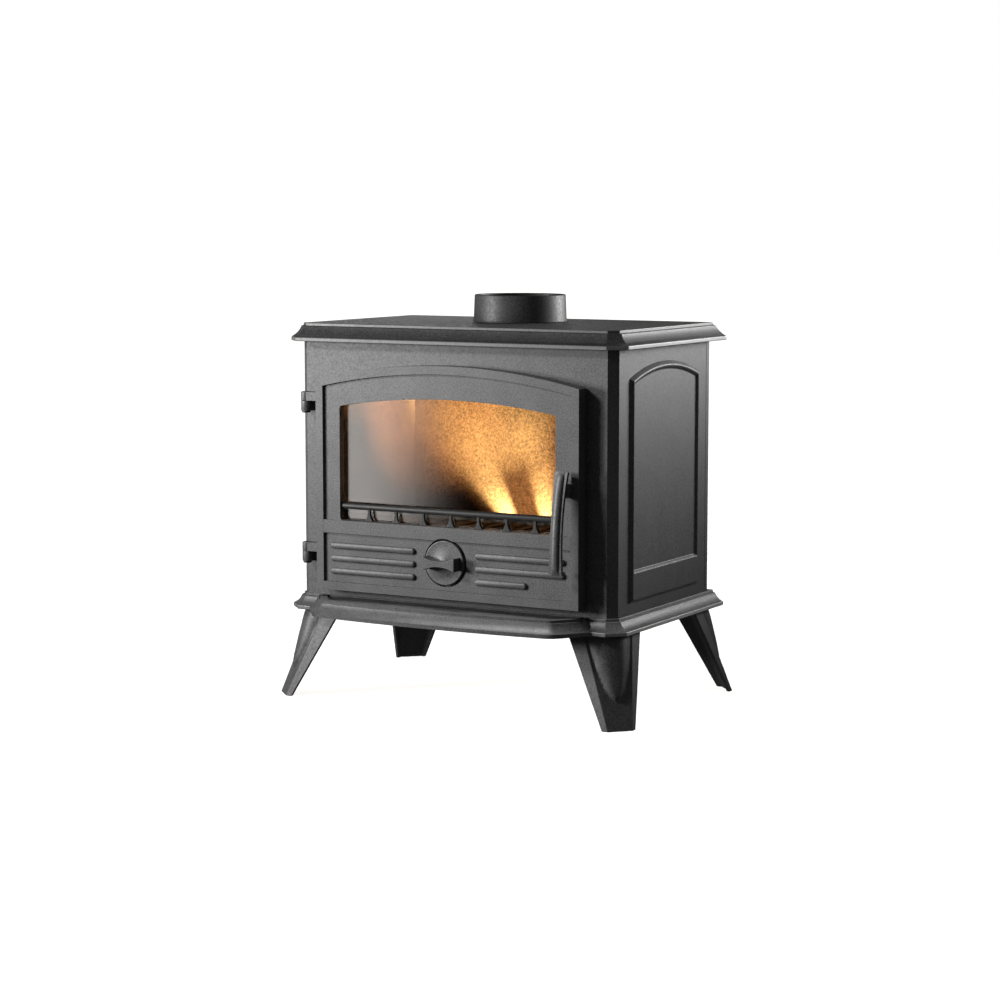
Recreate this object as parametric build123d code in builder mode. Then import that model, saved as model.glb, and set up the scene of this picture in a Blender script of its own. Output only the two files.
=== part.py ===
from build123d import *
from math import sqrt
import os

# Cast-iron wood burning stove. Millimetres, +Z up, front towards -Y.
# The origin is on the floor, under the middle of the overall box.

# ---------------------------------------------------------------- body castings
body_width = 587.0
body_depth = 347.0
stove_height = 623.5
leg_height = 146.0
wall = 8.0
corner_chamfer = 13.4
base_height = 26.0
base_slab = 12.0
top_slab = 8.0
rear_seam = 12.0
fit_gap = 0.3

# ---------------------------------------------------------------- cornice and base mouldings
band_out = 20.7
band_height = 6.3
ledge_height = 4.2
ledge_step = 3.5
cove_depth = 2.6
moulding_skin = 6.0
cornice_height = 29.6
cornice_ledge_out = 1.0
base_ledge_out = 3.5
cornice_rear = 24.4
cornice_rear_slope = 13.8
base_rear = 21.4
base_rear_slope = 4.9

# ---------------------------------------------------------------- flue
flue_radius = 76.5
flue_wall = 5.0
flue_height = 45.3
flue_taper = 1.7
flue_from_front = 225.4
flue_spigot_drop = 10.0
flue_lip_radius = 1.2
collar_clip_width = 18.0
collar_clip_length = 22.0
collar_clip_thickness = 4.0
collar_clip_count = 3
rear_flue_radius = 72.0
rear_flue_z = 500.0
rear_cover_lap = 10.0
rear_cover_thickness = 6.0
rear_cover_edge = 2.0
bar_thickness = 6.0
bar_half_height = 12.0
bar_bolt_end = 3.0

# ---------------------------------------------------------------- side panels
plaque_width = 253.0
plaque_from_front = 49.0
plaque_bottom = 189.0
plaque_corner = 542.5
plaque_apex = 565.0
plaque_raise = 6.0
field_depth = 4.0
field_margin = 9.0
field_bottom = 238.0

# ---------------------------------------------------------------- ash lip
lip_reach = 89.0
lip_bow = 13.0
lip_front_half = 222.0
lip_root_half = 265.0
lip_tray_rim = 12.0
lip_tray_depth = 4.0
lip_corner_pull = 0.75
lip_root_pull = 1.25
lip_tab_half = 20.0
lip_tab_x = 120.0
lip_tab_length = 25.0
leg_room_clearance = 4.0

# ---------------------------------------------------------------- legs
foot_out = 31.9
foot_half = 20.5
foot_wing = 10.0
leg_top_out = -36.5
leg_top_half = 42.6
leg_top_wing = 28.5
leg_top_gap = 1.7
leg_wall = 6.0
leg_flange = 8.0
rear_leg_back = 13.0
shield_top_half = 31.0
shield_low_half = 11.0
shield_bulge = 7.0
shield_low_z = 62.0
shield_tip_z = 48.0
shield_tip_half = 3.7
shield_low_bulge = 3.5
shield_tip_bulge = 0.5
shield_sink = 1.0

# ---------------------------------------------------------------- door
door_half = 244.8
door_bottom = 185.0
door_corner = 533.4
door_apex = 561.3
door_proud = 28.0
door_gap = 3.0
door_border = 13.5
panel_sink = 5.0
door_skin = 6.0
skirt = 12.0
bar_bottom = 279.9
bar_top = 301.5
window_half = 201.2
window_corner = 490.0
window_apex = 507.2
window_radius = 5.0
reveal_wall = 6.0
glass_sink = 12.5
glass_thickness = 4.0
glass_lap = 7.0
glass_seal_thickness = 2.0
seal_width = 8.0
seal_inset = 2.0
seal_groove = 5.0
seal_clearance = 0.5
rib_height = 10.7
rib_pitch = 21.1
rib_top_z = 259.0
rib_raise = 4.0
rib_inner_x = 56.0
rib_outer_x = 219.0
short_rib_x = 151.0

# ---------------------------------------------------------------- glass clips
clip_width = 22.0
clip_reach = 8.0
clip_thickness = 2.0
clip_post_radius = 5.0
clip_screw_radius = 2.4
clip_screw_head = 4.3
clip_post_gap = 1.0
clip_top_drop = 3.0
clip_side_zs = (335.0, 455.0)
clip_top_x = 110.0

# ---------------------------------------------------------------- air dial
dial_z = 244.0
dial_radius = 36.6
dial_pocket_radius = 39.4
dial_pocket_wall = 6.0
dial_pocket_depth = 9.0
dial_rim = 8.5
dial_dome = 7.0
dial_standoff = 4.0
grip_half = 29.0
grip_end_half = 11.0
grip_waist_half = 4.5
grip_height = 46.0
air_spindle_radius = 4.0
air_slot_mid = 24.0
air_slot_width = 11.0
air_slot_arc = 16.0
air_slot_count = 4
shutter_radius = 34.0
shutter_thickness = 2.0
air_nut_radius = 7.5
air_nut_height = 4.0

# ---------------------------------------------------------------- door handle and latch
handle_x = 222.0
handle_z = 373.5
handle_top = 405.0
handle_bottom = 244.0
handle_end_half = 11.5
handle_waist_half = 9.5
handle_thickness = 6.0
handle_top_out = 43.0
handle_mid_out = 58.5
handle_bottom_out = 63.0
handle_rib_half = 6.0
handle_rib_raise = 4.5
handle_boss_radius = 11.3
handle_boss_out = 34.0
handle_boss_gap = 0.4
handle_nut_radius = 8.5
handle_nut_height = 4.0
hub_gap = 0.5
handle_spindle_radius = 5.0
cam_hub_radius = 8.0
cam_reach = 24.0
cam_width = 10.0
cam_thickness = 6.0
keeper_thickness = 3.0
keeper_half_height = 20.0
keeper_width = 28.0
keeper_lap = 1.0
keeper_screw_x = 256.0
keeper_screw_rise = 13.0
keeper_hole_depth = 6.0
cam_clearance = 0.6

# ---------------------------------------------------------------- door hinges
pin_x = 269.2
pin_out = 19.0
pin_radius = 4.0
lug_radius = 8.5
lug_height = 15.0
lug_gap = 0.6
body_lug_height = 16.5
hinge_split_zs = (496.3, 245.8)
pin_head_radius = 7.0
pin_head_height = 3.0
root_lap = 1.0

# ---------------------------------------------------------------- firebox
opening_inset = 11.0
cross_bar_bottom = 276.0
cross_bar_top = 296.0
ash_opening_half = 175.0
ash_opening_bottom = 199.0
bed_thickness = 8.0
liner_x = 250.0
liner_thickness = 14.0
liner_front_gap = 22.0
fireback_from_front = 300.0
fireback_panel_half = 175.0
fireback_panel_height = 154.0
fireback_panel_raise = 4.7
liner_top = 540.0
baffle_thickness = 10.0
baffle_front = 90.0
grate_length = 300.0
grate_width = 200.0
grate_thickness = 12.0
grate_lap = 6.0
grate_slots = 9
grate_slot_width = 12.0
pan_half = 165.0
pan_depth = 250.0
pan_height = 60.0
pan_wall = 1.5
pan_front_gap = 3.6
pan_lip_height = 15.0
pan_rail = 14.0
pit_wall = 8.0
pit_half = 178.0
guard_front = 1.5
guard_thickness = 6.0
guard_half = 228.0
guard_top = 323.5
guard_bar = 11.0
guard_pitch = 51.2
guard_openings = 8
guard_post = 8.0
guard_foot = 3.0
guard_foot_radius = 12.0

# ---------------------------------------------------------------- fasteners
m6_radius = 3.0
m8_radius = 4.0
bolt_clearance = 0.3
m6_head = 5.5
m8_head = 7.5
head_height = 5.0
tie_rod_x = 275.0
tie_rod_depths = (110.0, 245.0)
tie_rod_boss = 10.0
tie_rod_boss_drop = 20.0
leg_bolt_near = 48.0
leg_bolt_far = 66.0
screw_clearance = 0.1
screw_end_gap = 1.0
running_fit = 0.05
push_fit = 0.02
nut_share = 1.3

# ---------------------------------------------------------------- worked out from the above
root2 = sqrt(2)
half = body_width / 2
foot_reach = (foot_out + foot_half) / root2
rear_leg_corner = body_depth + rear_leg_back
rear_reach = rear_leg_corner + foot_reach
front_reach = max(lip_reach, foot_reach)
front_y = (front_reach - rear_reach) / 2
rear_y = front_y + body_depth
base_top = leg_height + base_height
base_under = base_top - base_slab
base_inner_out = (leg_top_out + leg_top_half) / root2 + leg_top_gap
top_under = stove_height - top_slab
flue_y = front_y + flue_from_front
door_face_y = front_y - door_proud
panel_y = door_face_y + panel_sink
skin_back_y = panel_y + door_skin
door_back_y = front_y - door_gap
glass_front_y = panel_y + glass_sink
glass_back_y = glass_front_y + glass_thickness
window_bottom = bar_top

os.makedirs("parts", exist_ok=True)


def save(builder, name):
    """Label a finished piece and write it as its own STEP file."""
    builder.part.label = name
    export_step(builder.part, f"parts/{name}.step")


def at_y(y):
    """A vertical plane facing +Y at depth y, with local x = -X and local y = Z."""
    return Plane(origin=(0, y, 0), x_dir=(-1, 0, 0), z_dir=(0, 1, 0))


def cast_outline(out, rear):
    """Plan outline `out` beyond the body: chamfered at the front, square at the rear."""
    side = half + out
    chamfer_size = corner_chamfer + out * (2 - root2)
    front = front_y - out
    return [
        (-side, rear),
        (-side, front + chamfer_size),
        (-side + chamfer_size, front),
        (side - chamfer_size, front),
        (side, front + chamfer_size),
        (side, rear),
    ]


def arched(plane, half_width, bottom, corner, apex, inset=0.0, radius=0.0):
    """Arched face on a plane; `inset` narrows it evenly at the sides and the arch."""
    rise = apex - corner
    arc_radius = (half_width**2 + rise**2) / (2 * rise)
    new_half = half_width - inset
    new_corner = apex - arc_radius + sqrt((arc_radius - inset) ** 2 - new_half**2)
    with BuildSketch(plane) as face:
        with BuildLine():
            Polyline(
                (-new_half, new_corner),
                (-new_half, bottom),
                (new_half, bottom),
                (new_half, new_corner),
            )
            ThreePointArc((new_half, new_corner), (0, apex - inset), (-new_half, new_corner))
        make_face()
        if radius > 0:
            fillet(face.vertices(), radius)
    return face.sketch


def door_outline(y, inset=0.0):
    """The door's own outline in the plane at depth y, `inset` within its edge."""
    return arched(at_y(y), door_half, door_bottom + inset, door_corner, door_apex, inset)


def window_outline(y, inset=0.0):
    """The window's outline in the plane at depth y; a negative inset makes it larger."""
    return arched(at_y(y), window_half, window_bottom + inset, window_corner, window_apex, inset,
                  window_radius)


def moulding(top_z, height, ledge_out, rear, inner_out, slab):
    """Cove moulding carried round the front and sides of a casting, open at the rear."""
    ledge_z = top_z - ledge_height
    bottom_z = top_z - height
    step = (ledge_out + ledge_step, ledge_z - ledge_step / 6)
    band = (band_out, bottom_z + band_height)
    start = Plane(origin=(-half, rear, 0), x_dir=(-1, 0, 0), z_dir=(0, 1, 0))
    with BuildPart() as solid:
        with BuildLine() as path:
            Polyline(*cast_outline(0, rear))
        with BuildSketch(start):
            with BuildLine():
                Polyline(
                    (-wall, top_z - slab),
                    (-wall, top_z),
                    (ledge_out, top_z),
                    (ledge_out, ledge_z),
                    step,
                )
                SagittaArc(step, band, cove_depth)
                Polyline(
                    band,
                    (band_out, bottom_z),
                    (band_out - moulding_skin, bottom_z),
                    (inner_out, top_z - slab - moulding_skin / 2),
                    (inner_out, top_z - slab),
                    (-wall, top_z - slab),
                )
            make_face()
        sweep(path=path.wire(), transition=Transition.RIGHT)
    return solid.part


def hex_heads(plane, points, radius, height):
    """Hexagonal heads or nuts, standing on a plane at the given local points."""
    with BuildSketch(plane) as heads:
        with Locations(*points):
            RegularPolygon(radius, 6)
    extrude(heads.sketch, amount=height)


def rounds(plane, points, radius, length, mode=Mode.ADD):
    """Round shanks or holes from a plane at the given local points."""
    with BuildSketch(plane) as circles:
        with Locations(*points):
            Circle(radius)
    extrude(circles.sketch, amount=length, mode=mode)


def corner_points(inset_x, inset_y):
    """Two bolt places at each leg, either side of the corner's diagonal."""
    return [
        (side * (half - inset_x), end)
        for side in (-1, 1)
        for end in (front_y + inset_y, front_y + rear_leg_corner - inset_y)
    ]


leg_bolt_points = corner_points(leg_bolt_near, leg_bolt_far) + corner_points(leg_bolt_far, leg_bolt_near)
tie_rod_points = [(side * tie_rod_x, front_y + depth) for side in (-1, 1) for depth in tie_rod_depths]
lip_bolt_points = [(side * lip_tab_x, front_y + lip_tab_length / 2) for side in (-1, 1)]
lug_screw_points = [(pin_x, split - lug_gap / 2 - body_lug_height / 2) for split in hinge_split_zs]
keeper_screw_points = [(-keeper_screw_x, handle_z + side * keeper_screw_rise) for side in (-1, 1)]

# ================================================================ body
with BuildPart() as base_plate:
    with BuildSketch(Plane.XY.offset(base_under)):
        Polygon(*cast_outline(base_ledge_out, rear_y + base_rear), align=None)
    extrude(amount=base_slab)
    add(moulding(base_top, base_height, base_ledge_out, rear_y + base_rear, base_inner_out, base_slab))
    # the ash lip takes the middle of the front moulding
    with Locations((0, front_y - base_ledge_out - fit_gap, leg_height)):
        Box(2 * (lip_root_half + fit_gap), band_out, 2 * base_height,
            align=(Align.CENTER, Align.MAX, Align.CENTER), mode=Mode.SUBTRACT)
    with BuildSketch(Plane.XY.offset(base_under)):
        with Locations(*leg_bolt_points, *tie_rod_points):
            Circle(m8_radius + bolt_clearance)
        with Locations(*lip_bolt_points):
            Circle(m6_radius + bolt_clearance)
    extrude(amount=base_slab, mode=Mode.SUBTRACT)
    # sloping rear end of the moulding
    with BuildSketch(Plane.YZ.offset(-body_width)):
        with BuildLine():
            Polyline((rear_y + base_rear, base_top - base_height + band_height),
                     (rear_y + base_rear, base_top),
                     (rear_y + base_rear - base_rear_slope, base_top), close=True)
        make_face()
    extrude(amount=2 * body_width, mode=Mode.SUBTRACT)
save(base_plate, "base_plate")

with BuildPart() as top_plate:
    with BuildSketch(Plane.XY.offset(top_under)):
        Polygon(*cast_outline(cornice_ledge_out, rear_y + cornice_rear), align=None)
    extrude(amount=top_slab)
    add(moulding(stove_height, cornice_height, cornice_ledge_out, rear_y + cornice_rear, fit_gap, top_slab))
    with BuildSketch(Plane.XY.offset(top_under - tie_rod_boss_drop)):
        with Locations(*tie_rod_points):
            Circle(tie_rod_boss)
    extrude(amount=tie_rod_boss_drop)
    with BuildSketch(Plane.XY.offset(top_under - tie_rod_boss_drop)):
        with Locations(*tie_rod_points):
            Circle(m8_radius + bolt_clearance / 2)
    extrude(amount=tie_rod_boss_drop + top_slab / 4, mode=Mode.SUBTRACT)
    with Locations((0, flue_y, stove_height)):
        Cylinder(flue_radius - flue_taper + fit_gap, 4 * top_slab, mode=Mode.SUBTRACT)
    with BuildSketch(Plane.YZ.offset(-body_width)):
        with BuildLine():
            Polyline((rear_y + cornice_rear, stove_height - cornice_height + band_height),
                     (rear_y + cornice_rear, stove_height),
                     (rear_y + cornice_rear - cornice_rear_slope, stove_height), close=True)
        make_face()
    extrude(amount=2 * body_width, mode=Mode.SUBTRACT)
save(top_plate, "top_plate")

panel_height = top_under - base_top
inner_chamfer = corner_chamfer - wall * (2 - root2)
chamfer_run = wall + inner_chamfer - corner_chamfer
with BuildPart() as front_plate:
    with BuildSketch(Plane.XY.offset(base_top)):
        Polygon(
            (-half, front_y + corner_chamfer),
            (-half + corner_chamfer, front_y),
            (half - corner_chamfer, front_y),
            (half, front_y + corner_chamfer),
            (half - wall - chamfer_run, front_y + corner_chamfer),
            (half - wall - inner_chamfer, front_y + wall),
            (-half + wall + inner_chamfer, front_y + wall),
            (-half + wall + chamfer_run, front_y + corner_chamfer),
            align=None,
        )
    extrude(amount=panel_height)
    # fire opening above the cross bar, ash opening below it
    extrude(door_outline(front_y, opening_inset), amount=wall, mode=Mode.SUBTRACT)
    with BuildSketch(at_y(front_y)):
        with Locations((0, cross_bar_top)):
            Rectangle(2 * door_half, cross_bar_top - door_bottom, align=(Align.CENTER, Align.MAX))
        with Locations((0, cross_bar_bottom)):
            Rectangle(2 * ash_opening_half, cross_bar_bottom - ash_opening_bottom,
                      align=(Align.CENTER, Align.MAX), mode=Mode.SUBTRACT)
    extrude(amount=wall)
    # hinge lug screws right through, keeper screws from behind
    rounds(at_y(front_y), lug_screw_points, m6_radius + bolt_clearance, wall, Mode.SUBTRACT)
    rounds(at_y(front_y + wall), keeper_screw_points, m6_radius + screw_clearance, -keeper_hole_depth,
           Mode.SUBTRACT)
save(front_plate, "front_plate")


def side_plate(side):
    """One side casting: plain wall with a raised arched panel and a sunk field."""
    centre_y = front_y + plaque_from_front + plaque_width / 2
    plane = Plane(origin=(side * half, centre_y, 0), x_dir=(0, side, 0), z_dir=(side, 0, 0))

    def panel(height, inset, bottom):
        return arched(plane.offset(height), plaque_width / 2, bottom, plaque_corner, plaque_apex, inset).face()

    with BuildPart() as plate:
        with BuildSketch(Plane.XY.offset(base_top)):
            with Locations((side * half, front_y + corner_chamfer)):
                Rectangle(wall, body_depth - corner_chamfer - rear_seam,
                          align=(Align.MAX if side > 0 else Align.MIN, Align.MIN))
        extrude(amount=panel_height)
        loft([panel(0, 0, plaque_bottom),
              panel(plaque_raise, plaque_raise, plaque_bottom + plaque_raise)], ruled=True)
        loft([panel(plaque_raise, field_margin, field_bottom),
              panel(plaque_raise - field_depth, field_margin + field_depth, field_bottom + field_depth)],
             ruled=True, mode=Mode.SUBTRACT)
    return plate


for side, name in ((-1, "left_side"), (1, "right_side")):
    save(side_plate(side), name)

with BuildPart() as rear_plate:
    with BuildSketch(Plane.XY.offset(base_top)):
        with Locations((0, rear_y)):
            Rectangle(body_width, rear_seam, align=(Align.CENTER, Align.MAX))
        with Locations((0, rear_y - wall)):
            Rectangle(body_width - 2 * wall, rear_seam - wall,
                      align=(Align.CENTER, Align.MAX), mode=Mode.SUBTRACT)
    extrude(amount=panel_height)
    with BuildSketch(at_y(rear_y - wall)):
        with Locations((0, rear_flue_z)):
            Circle(rear_flue_radius)
    extrude(amount=wall, mode=Mode.SUBTRACT)
save(rear_plate, "rear_plate")

with BuildPart() as rear_flue_cover:
    with BuildSketch(at_y(rear_y)):
        with Locations((0, rear_flue_z)):
            Circle(rear_flue_radius + rear_cover_lap)
    extrude(amount=rear_cover_thickness)
    with BuildSketch(at_y(rear_y - wall / 2)):
        with Locations((0, rear_flue_z)):
            Circle(rear_flue_radius - fit_gap)
    extrude(amount=wall / 2)
    with BuildSketch(at_y(rear_y - wall)):
        with Locations((0, rear_flue_z)):
            Circle(m6_radius + bolt_clearance)
    extrude(amount=wall + rear_cover_thickness, mode=Mode.SUBTRACT)
    fillet(rear_flue_cover.edges().filter_by(GeomType.CIRCLE).group_by(Axis.Y)[-1].sort_by(SortBy.RADIUS)[-1],
           rear_cover_edge)
save(rear_flue_cover, "rear_flue_cover")

with BuildPart() as rear_cover_bar:
    with BuildSketch(at_y(rear_y - wall - bar_thickness)):
        with Locations((0, rear_flue_z)):
            SlotOverall(2 * (rear_flue_radius + rear_cover_lap), 2 * bar_half_height)
            Circle(m6_radius + bolt_clearance, mode=Mode.SUBTRACT)
    extrude(amount=bar_thickness)
save(rear_cover_bar, "rear_cover_bar")

with BuildPart() as rear_cover_bolt:
    hex_heads(at_y(rear_y + rear_cover_thickness), [(0, rear_flue_z)], m6_head, head_height)
    rounds(at_y(rear_y - wall - bar_thickness - bar_bolt_end), [(0, rear_flue_z)], m6_radius,
           wall + bar_thickness + bar_bolt_end + rear_cover_thickness)
save(rear_cover_bolt, "rear_cover_bolt")

# ================================================================ flue collar
collar_outer = flue_radius
collar_base = flue_radius + flue_taper
collar_bore = flue_radius - flue_wall
spigot_radius = flue_radius - flue_taper
collar_low = top_under - flue_spigot_drop
with BuildPart() as flue_collar:
    with BuildSketch(Plane.XZ.offset(-flue_y)):
        with BuildLine():
            Polyline(
                (collar_bore, collar_low),
                (spigot_radius, collar_low),
                (spigot_radius, stove_height),
                (collar_base, stove_height),
                (collar_outer, stove_height + flue_height),
                (collar_bore, stove_height + flue_height),
                close=True,
            )
        make_face()
    revolve(axis=Axis((0, flue_y, 0), (0, 0, 1)))
    fillet(flue_collar.edges().group_by(Axis.Z)[-1], flue_lip_radius)
save(flue_collar, "flue_collar")

with BuildPart(Plane(origin=(0, flue_y, top_under))) as collar_clips:
    with PolarLocations(spigot_radius + fit_gap, collar_clip_count, start_angle=90):
        Box(collar_clip_length, collar_clip_width, collar_clip_thickness,
            align=(Align.MIN, Align.CENTER, Align.MAX))
        Box(collar_clip_thickness, collar_clip_width, flue_spigot_drop,
            align=(Align.MIN, Align.CENTER, Align.MAX))
save(collar_clips, "collar_clips")

# ================================================================ ash lip
def lip_outline(z, inset):
    """Plan of the ash lip at height z: bowed front, angled ends, flat back on the base."""
    back = front_y - base_ledge_out - 2 * fit_gap
    front = front_y - lip_reach + inset
    corner_x = lip_front_half - inset * lip_corner_pull
    root_x = lip_root_half - inset * lip_root_pull
    with BuildSketch(Plane.XY.offset(z)) as face:
        with BuildLine():
            Polyline((corner_x, front + lip_bow), (root_x, front_y - band_out), (root_x, back),
                     (-root_x, back), (-root_x, front_y - band_out), (-corner_x, front + lip_bow))
            ThreePointArc((-corner_x, front + lip_bow), (0, front), (corner_x, front + lip_bow))
        make_face()
    return face.sketch


lip_flare = band_out - base_ledge_out
leg_corner_x = half + (leg_top_out - leg_top_half) / root2
leg_room_width = leg_top_wing + 4 * leg_room_clearance
leg_room_middle = leg_corner_x - leg_top_wing / 2 + leg_room_clearance
leg_room_depth = (leg_top_out + leg_top_half) / root2 + leg_room_clearance
lip_cove_top = base_top - ledge_height
with BuildPart() as ash_lip:
    extrude(lip_outline(leg_height, 0), amount=band_height)
    loft([lip_outline(leg_height + band_height, 0).face(),
          lip_outline(lip_cove_top, lip_flare - ledge_step).face()], ruled=True)
    extrude(lip_outline(lip_cove_top, lip_flare), amount=ledge_height)
    extrude(lip_outline(base_top - lip_tray_depth, lip_flare + lip_tray_rim), amount=lip_tray_depth,
            mode=Mode.SUBTRACT)
    # hollow underside
    extrude(lip_outline(leg_height, 2 * moulding_skin),
            amount=base_height - lip_tray_depth - 2 * moulding_skin, mode=Mode.SUBTRACT)
    # room under the lip for the tops of the front legs
    with Locations(*[(side * leg_room_middle, front_y - base_ledge_out, leg_height) for side in (-1, 1)]):
        Box(leg_room_width, 2 * leg_room_depth, 2 * (base_under + fit_gap - leg_height), mode=Mode.SUBTRACT)
    # tabs that bolt up under the base
    with Locations(*[(side * lip_tab_x, front_y + lip_tab_length, base_under) for side in (-1, 1)]):
        Box(2 * lip_tab_half, lip_tab_length + lip_flare + moulding_skin, moulding_skin,
            align=(Align.CENTER, Align.MAX, Align.MAX))
    with BuildSketch(Plane.XY.offset(base_under - moulding_skin)):
        with Locations(*lip_bolt_points):
            Circle(m6_radius + bolt_clearance)
    extrude(amount=moulding_skin, mode=Mode.SUBTRACT)
save(ash_lip, "ash_lip")

with BuildPart() as ash_lip_bolts:
    hex_heads(Plane.XY.offset(base_under - moulding_skin), lip_bolt_points, m6_head, -head_height)
    rounds(Plane.XY.offset(base_under - moulding_skin), lip_bolt_points, m6_radius, moulding_skin + base_slab)
save(ash_lip_bolts, "ash_lip_bolts")

# ================================================================ legs
def leg_rib(out, face_half, wing):
    """Channel section as (a, b) points outward from a body corner along X and Y."""
    p1 = ((out - face_half) / root2, (out + face_half) / root2)
    p2 = (p1[1], p1[0])
    k = (root2 - 1) * leg_wall
    outer = [(p1[0] - wing, p1[1]), p1, p2, (p2[0], p2[1] - wing)]
    inner = [
        (p2[0] - leg_wall, p2[1] - wing),
        (p2[0] - leg_wall, p2[1] - k),
        (p1[0] - k, p1[1] - leg_wall),
        (p1[0] - wing, p1[1] - leg_wall),
    ]
    return outer, inner


def leg_at(z):
    """Face offset, half width and wing of the leg's channel at height z."""
    share = z / base_under
    out = foot_out + share * (leg_top_out - foot_out)
    face_half = foot_half + share * (leg_top_half - foot_half)
    wing = foot_wing + share * (leg_top_wing - foot_wing)
    return out, face_half, wing


def leg(side, end):
    """One splayed leg: side is -1 left, 1 right; end is -1 front, 1 rear."""
    corner_y = front_y if end < 0 else front_y + rear_leg_corner

    def place(points):
        return [(side * (half + a), corner_y + end * b) for a, b in points]

    def shield(z, half_width, bulge):
        out = leg_at(z)[0]
        low = out - shield_sink
        chord = [((low - s * half_width) / root2, (low + s * half_width) / root2) for s in (1, -1)]
        crown = ((out + bulge) / root2, (out + bulge) / root2)
        start, finish, top = place([chord[0], chord[1], crown])
        with BuildSketch(Plane.XY.offset(z)) as section:
            with BuildLine():
                ThreePointArc(start, top, finish)
                Line(finish, start)
            make_face()
        return section.sketch.face()

    with BuildPart() as solid:
        for z in (0, base_under):
            outer, inner = leg_rib(*leg_at(z))
            with BuildSketch(Plane.XY.offset(z)):
                Polygon(*place(outer + inner), align=None)
        loft(ruled=True)
        outer, inner = leg_rib(*leg_at(base_under - leg_flange))
        with BuildSketch(Plane.XY.offset(base_under - leg_flange)):
            Polygon(*place(outer + [(outer[0][0], outer[3][1])]), align=None)
        extrude(amount=leg_flange)
        loft([shield(base_under - leg_flange, shield_top_half, shield_bulge),
              shield(shield_low_z, shield_low_half, shield_low_bulge),
              shield(shield_tip_z, shield_tip_half, shield_tip_bulge)], ruled=True)
        with BuildSketch(Plane.XY.offset(base_under - leg_flange)):
            with Locations(*leg_bolt_points):
                Circle(m8_radius + bolt_clearance)
        extrude(amount=leg_flange, mode=Mode.SUBTRACT)
    return solid


for side, side_name in ((-1, "left"), (1, "right")):
    for end, end_name in ((-1, "front"), (1, "rear")):
        save(leg(side, end), f"leg_{end_name}_{side_name}")

with BuildPart() as leg_bolts:
    hex_heads(Plane.XY.offset(base_under - leg_flange), leg_bolt_points, m8_head, -head_height)
    rounds(Plane.XY.offset(base_under - leg_flange), leg_bolt_points, m8_radius, leg_flange + base_slab)
save(leg_bolts, "leg_bolts")

with BuildPart() as tie_rods:
    rounds(Plane.XY.offset(base_under - 2 * head_height), tie_rod_points, m8_radius,
           top_under - base_under + 2 * head_height)
save(tie_rods, "tie_rods")

with BuildPart() as tie_rod_nuts:
    hex_heads(Plane.XY.offset(base_under), tie_rod_points, m8_head, -nut_share * head_height)
    rounds(Plane.XY.offset(base_under), tie_rod_points, m8_radius, -2 * head_height)
    with BuildSketch(Plane.XY.offset(base_under - 2 * head_height)):
        with Locations(*tie_rod_points):
            Circle(m8_radius + push_fit)
    extrude(amount=2 * head_height, mode=Mode.SUBTRACT)
save(tie_rod_nuts, "tie_rod_nuts")

# ================================================================ firebox
bed_top = cross_bar_top - grate_thickness
liner_bottom = bed_top
liner_height = liner_top - liner_bottom
liner_front_y = front_y + wall + liner_front_gap
fireback_y = front_y + fireback_from_front
grate_centre_y = (liner_front_y + fireback_y) / 2
bed_front_y = front_y + wall + fit_gap
rail_top = ash_opening_bottom + fit_gap
with BuildPart() as bed_plate:
    bed_length = fireback_y + liner_thickness - bed_front_y
    with Locations((0, bed_front_y, bed_top)):
        Box(2 * (liner_x + liner_thickness), bed_length, bed_thickness,
            align=(Align.CENTER, Align.MIN, Align.MAX))
    for side in (-1, 1):
        with Locations((side * pit_half, bed_front_y, base_top)):
            Box(pit_wall, bed_length, bed_top - base_top,
                align=(Align.MIN if side > 0 else Align.MAX, Align.MIN, Align.MIN))
        with Locations((side * (pit_half - pan_rail), bed_front_y, rail_top)):
            Box(pan_rail + fit_gap, bed_length, pit_wall / 2,
                align=(Align.MIN if side > 0 else Align.MAX, Align.MIN, Align.MAX))
    with Locations((0, grate_centre_y, bed_top)):
        Box(grate_length + 2 * fit_gap, grate_width + 2 * fit_gap, bed_thickness, mode=Mode.SUBTRACT)
        Box(grate_length - 2 * grate_lap, grate_width - 2 * grate_lap, 4 * bed_thickness, mode=Mode.SUBTRACT)
save(bed_plate, "bed_plate")

grate_top = bed_top - bed_thickness / 2 + grate_thickness
with BuildPart() as fire_grate:
    with Locations((0, grate_centre_y, grate_top)):
        Box(grate_length, grate_width, grate_thickness, align=(Align.CENTER, Align.CENTER, Align.MAX))
    with BuildSketch(Plane.XY.offset(grate_top - grate_thickness)):
        with Locations((0, grate_centre_y)):
            with GridLocations(grate_length / (grate_slots + 1), 1, grate_slots, 1):
                SlotOverall(grate_width - 4 * grate_lap, grate_slot_width, rotation=90)
    extrude(amount=grate_thickness, mode=Mode.SUBTRACT)
save(fire_grate, "fire_grate")

with BuildPart() as ash_pan:
    pan_front_y = front_y + wall + pan_front_gap
    with Locations((0, pan_front_y, rail_top)):
        Box(2 * pan_half, pan_depth, pan_height, align=(Align.CENTER, Align.MIN, Align.MIN))
    offset(amount=-pan_wall, openings=ash_pan.faces().sort_by(Axis.Z)[-1])
    # pull lip folded out of the front sheet
    with Locations((0, pan_front_y, rail_top + pan_height)):
        Box(pan_half, 2 * pan_wall, pan_lip_height, align=(Align.CENTER, Align.MAX, Align.MAX))
save(ash_pan, "ash_pan")

for side, name in ((-1, "liner_left"), (1, "liner_right")):
    with BuildPart() as liner:
        with Locations((side * liner_x, liner_front_y, liner_bottom)):
            Box(liner_thickness, fireback_y + liner_thickness - liner_front_y, liner_height,
                align=(Align.MIN if side > 0 else Align.MAX, Align.MIN, Align.MIN))
    save(liner, name)

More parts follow.
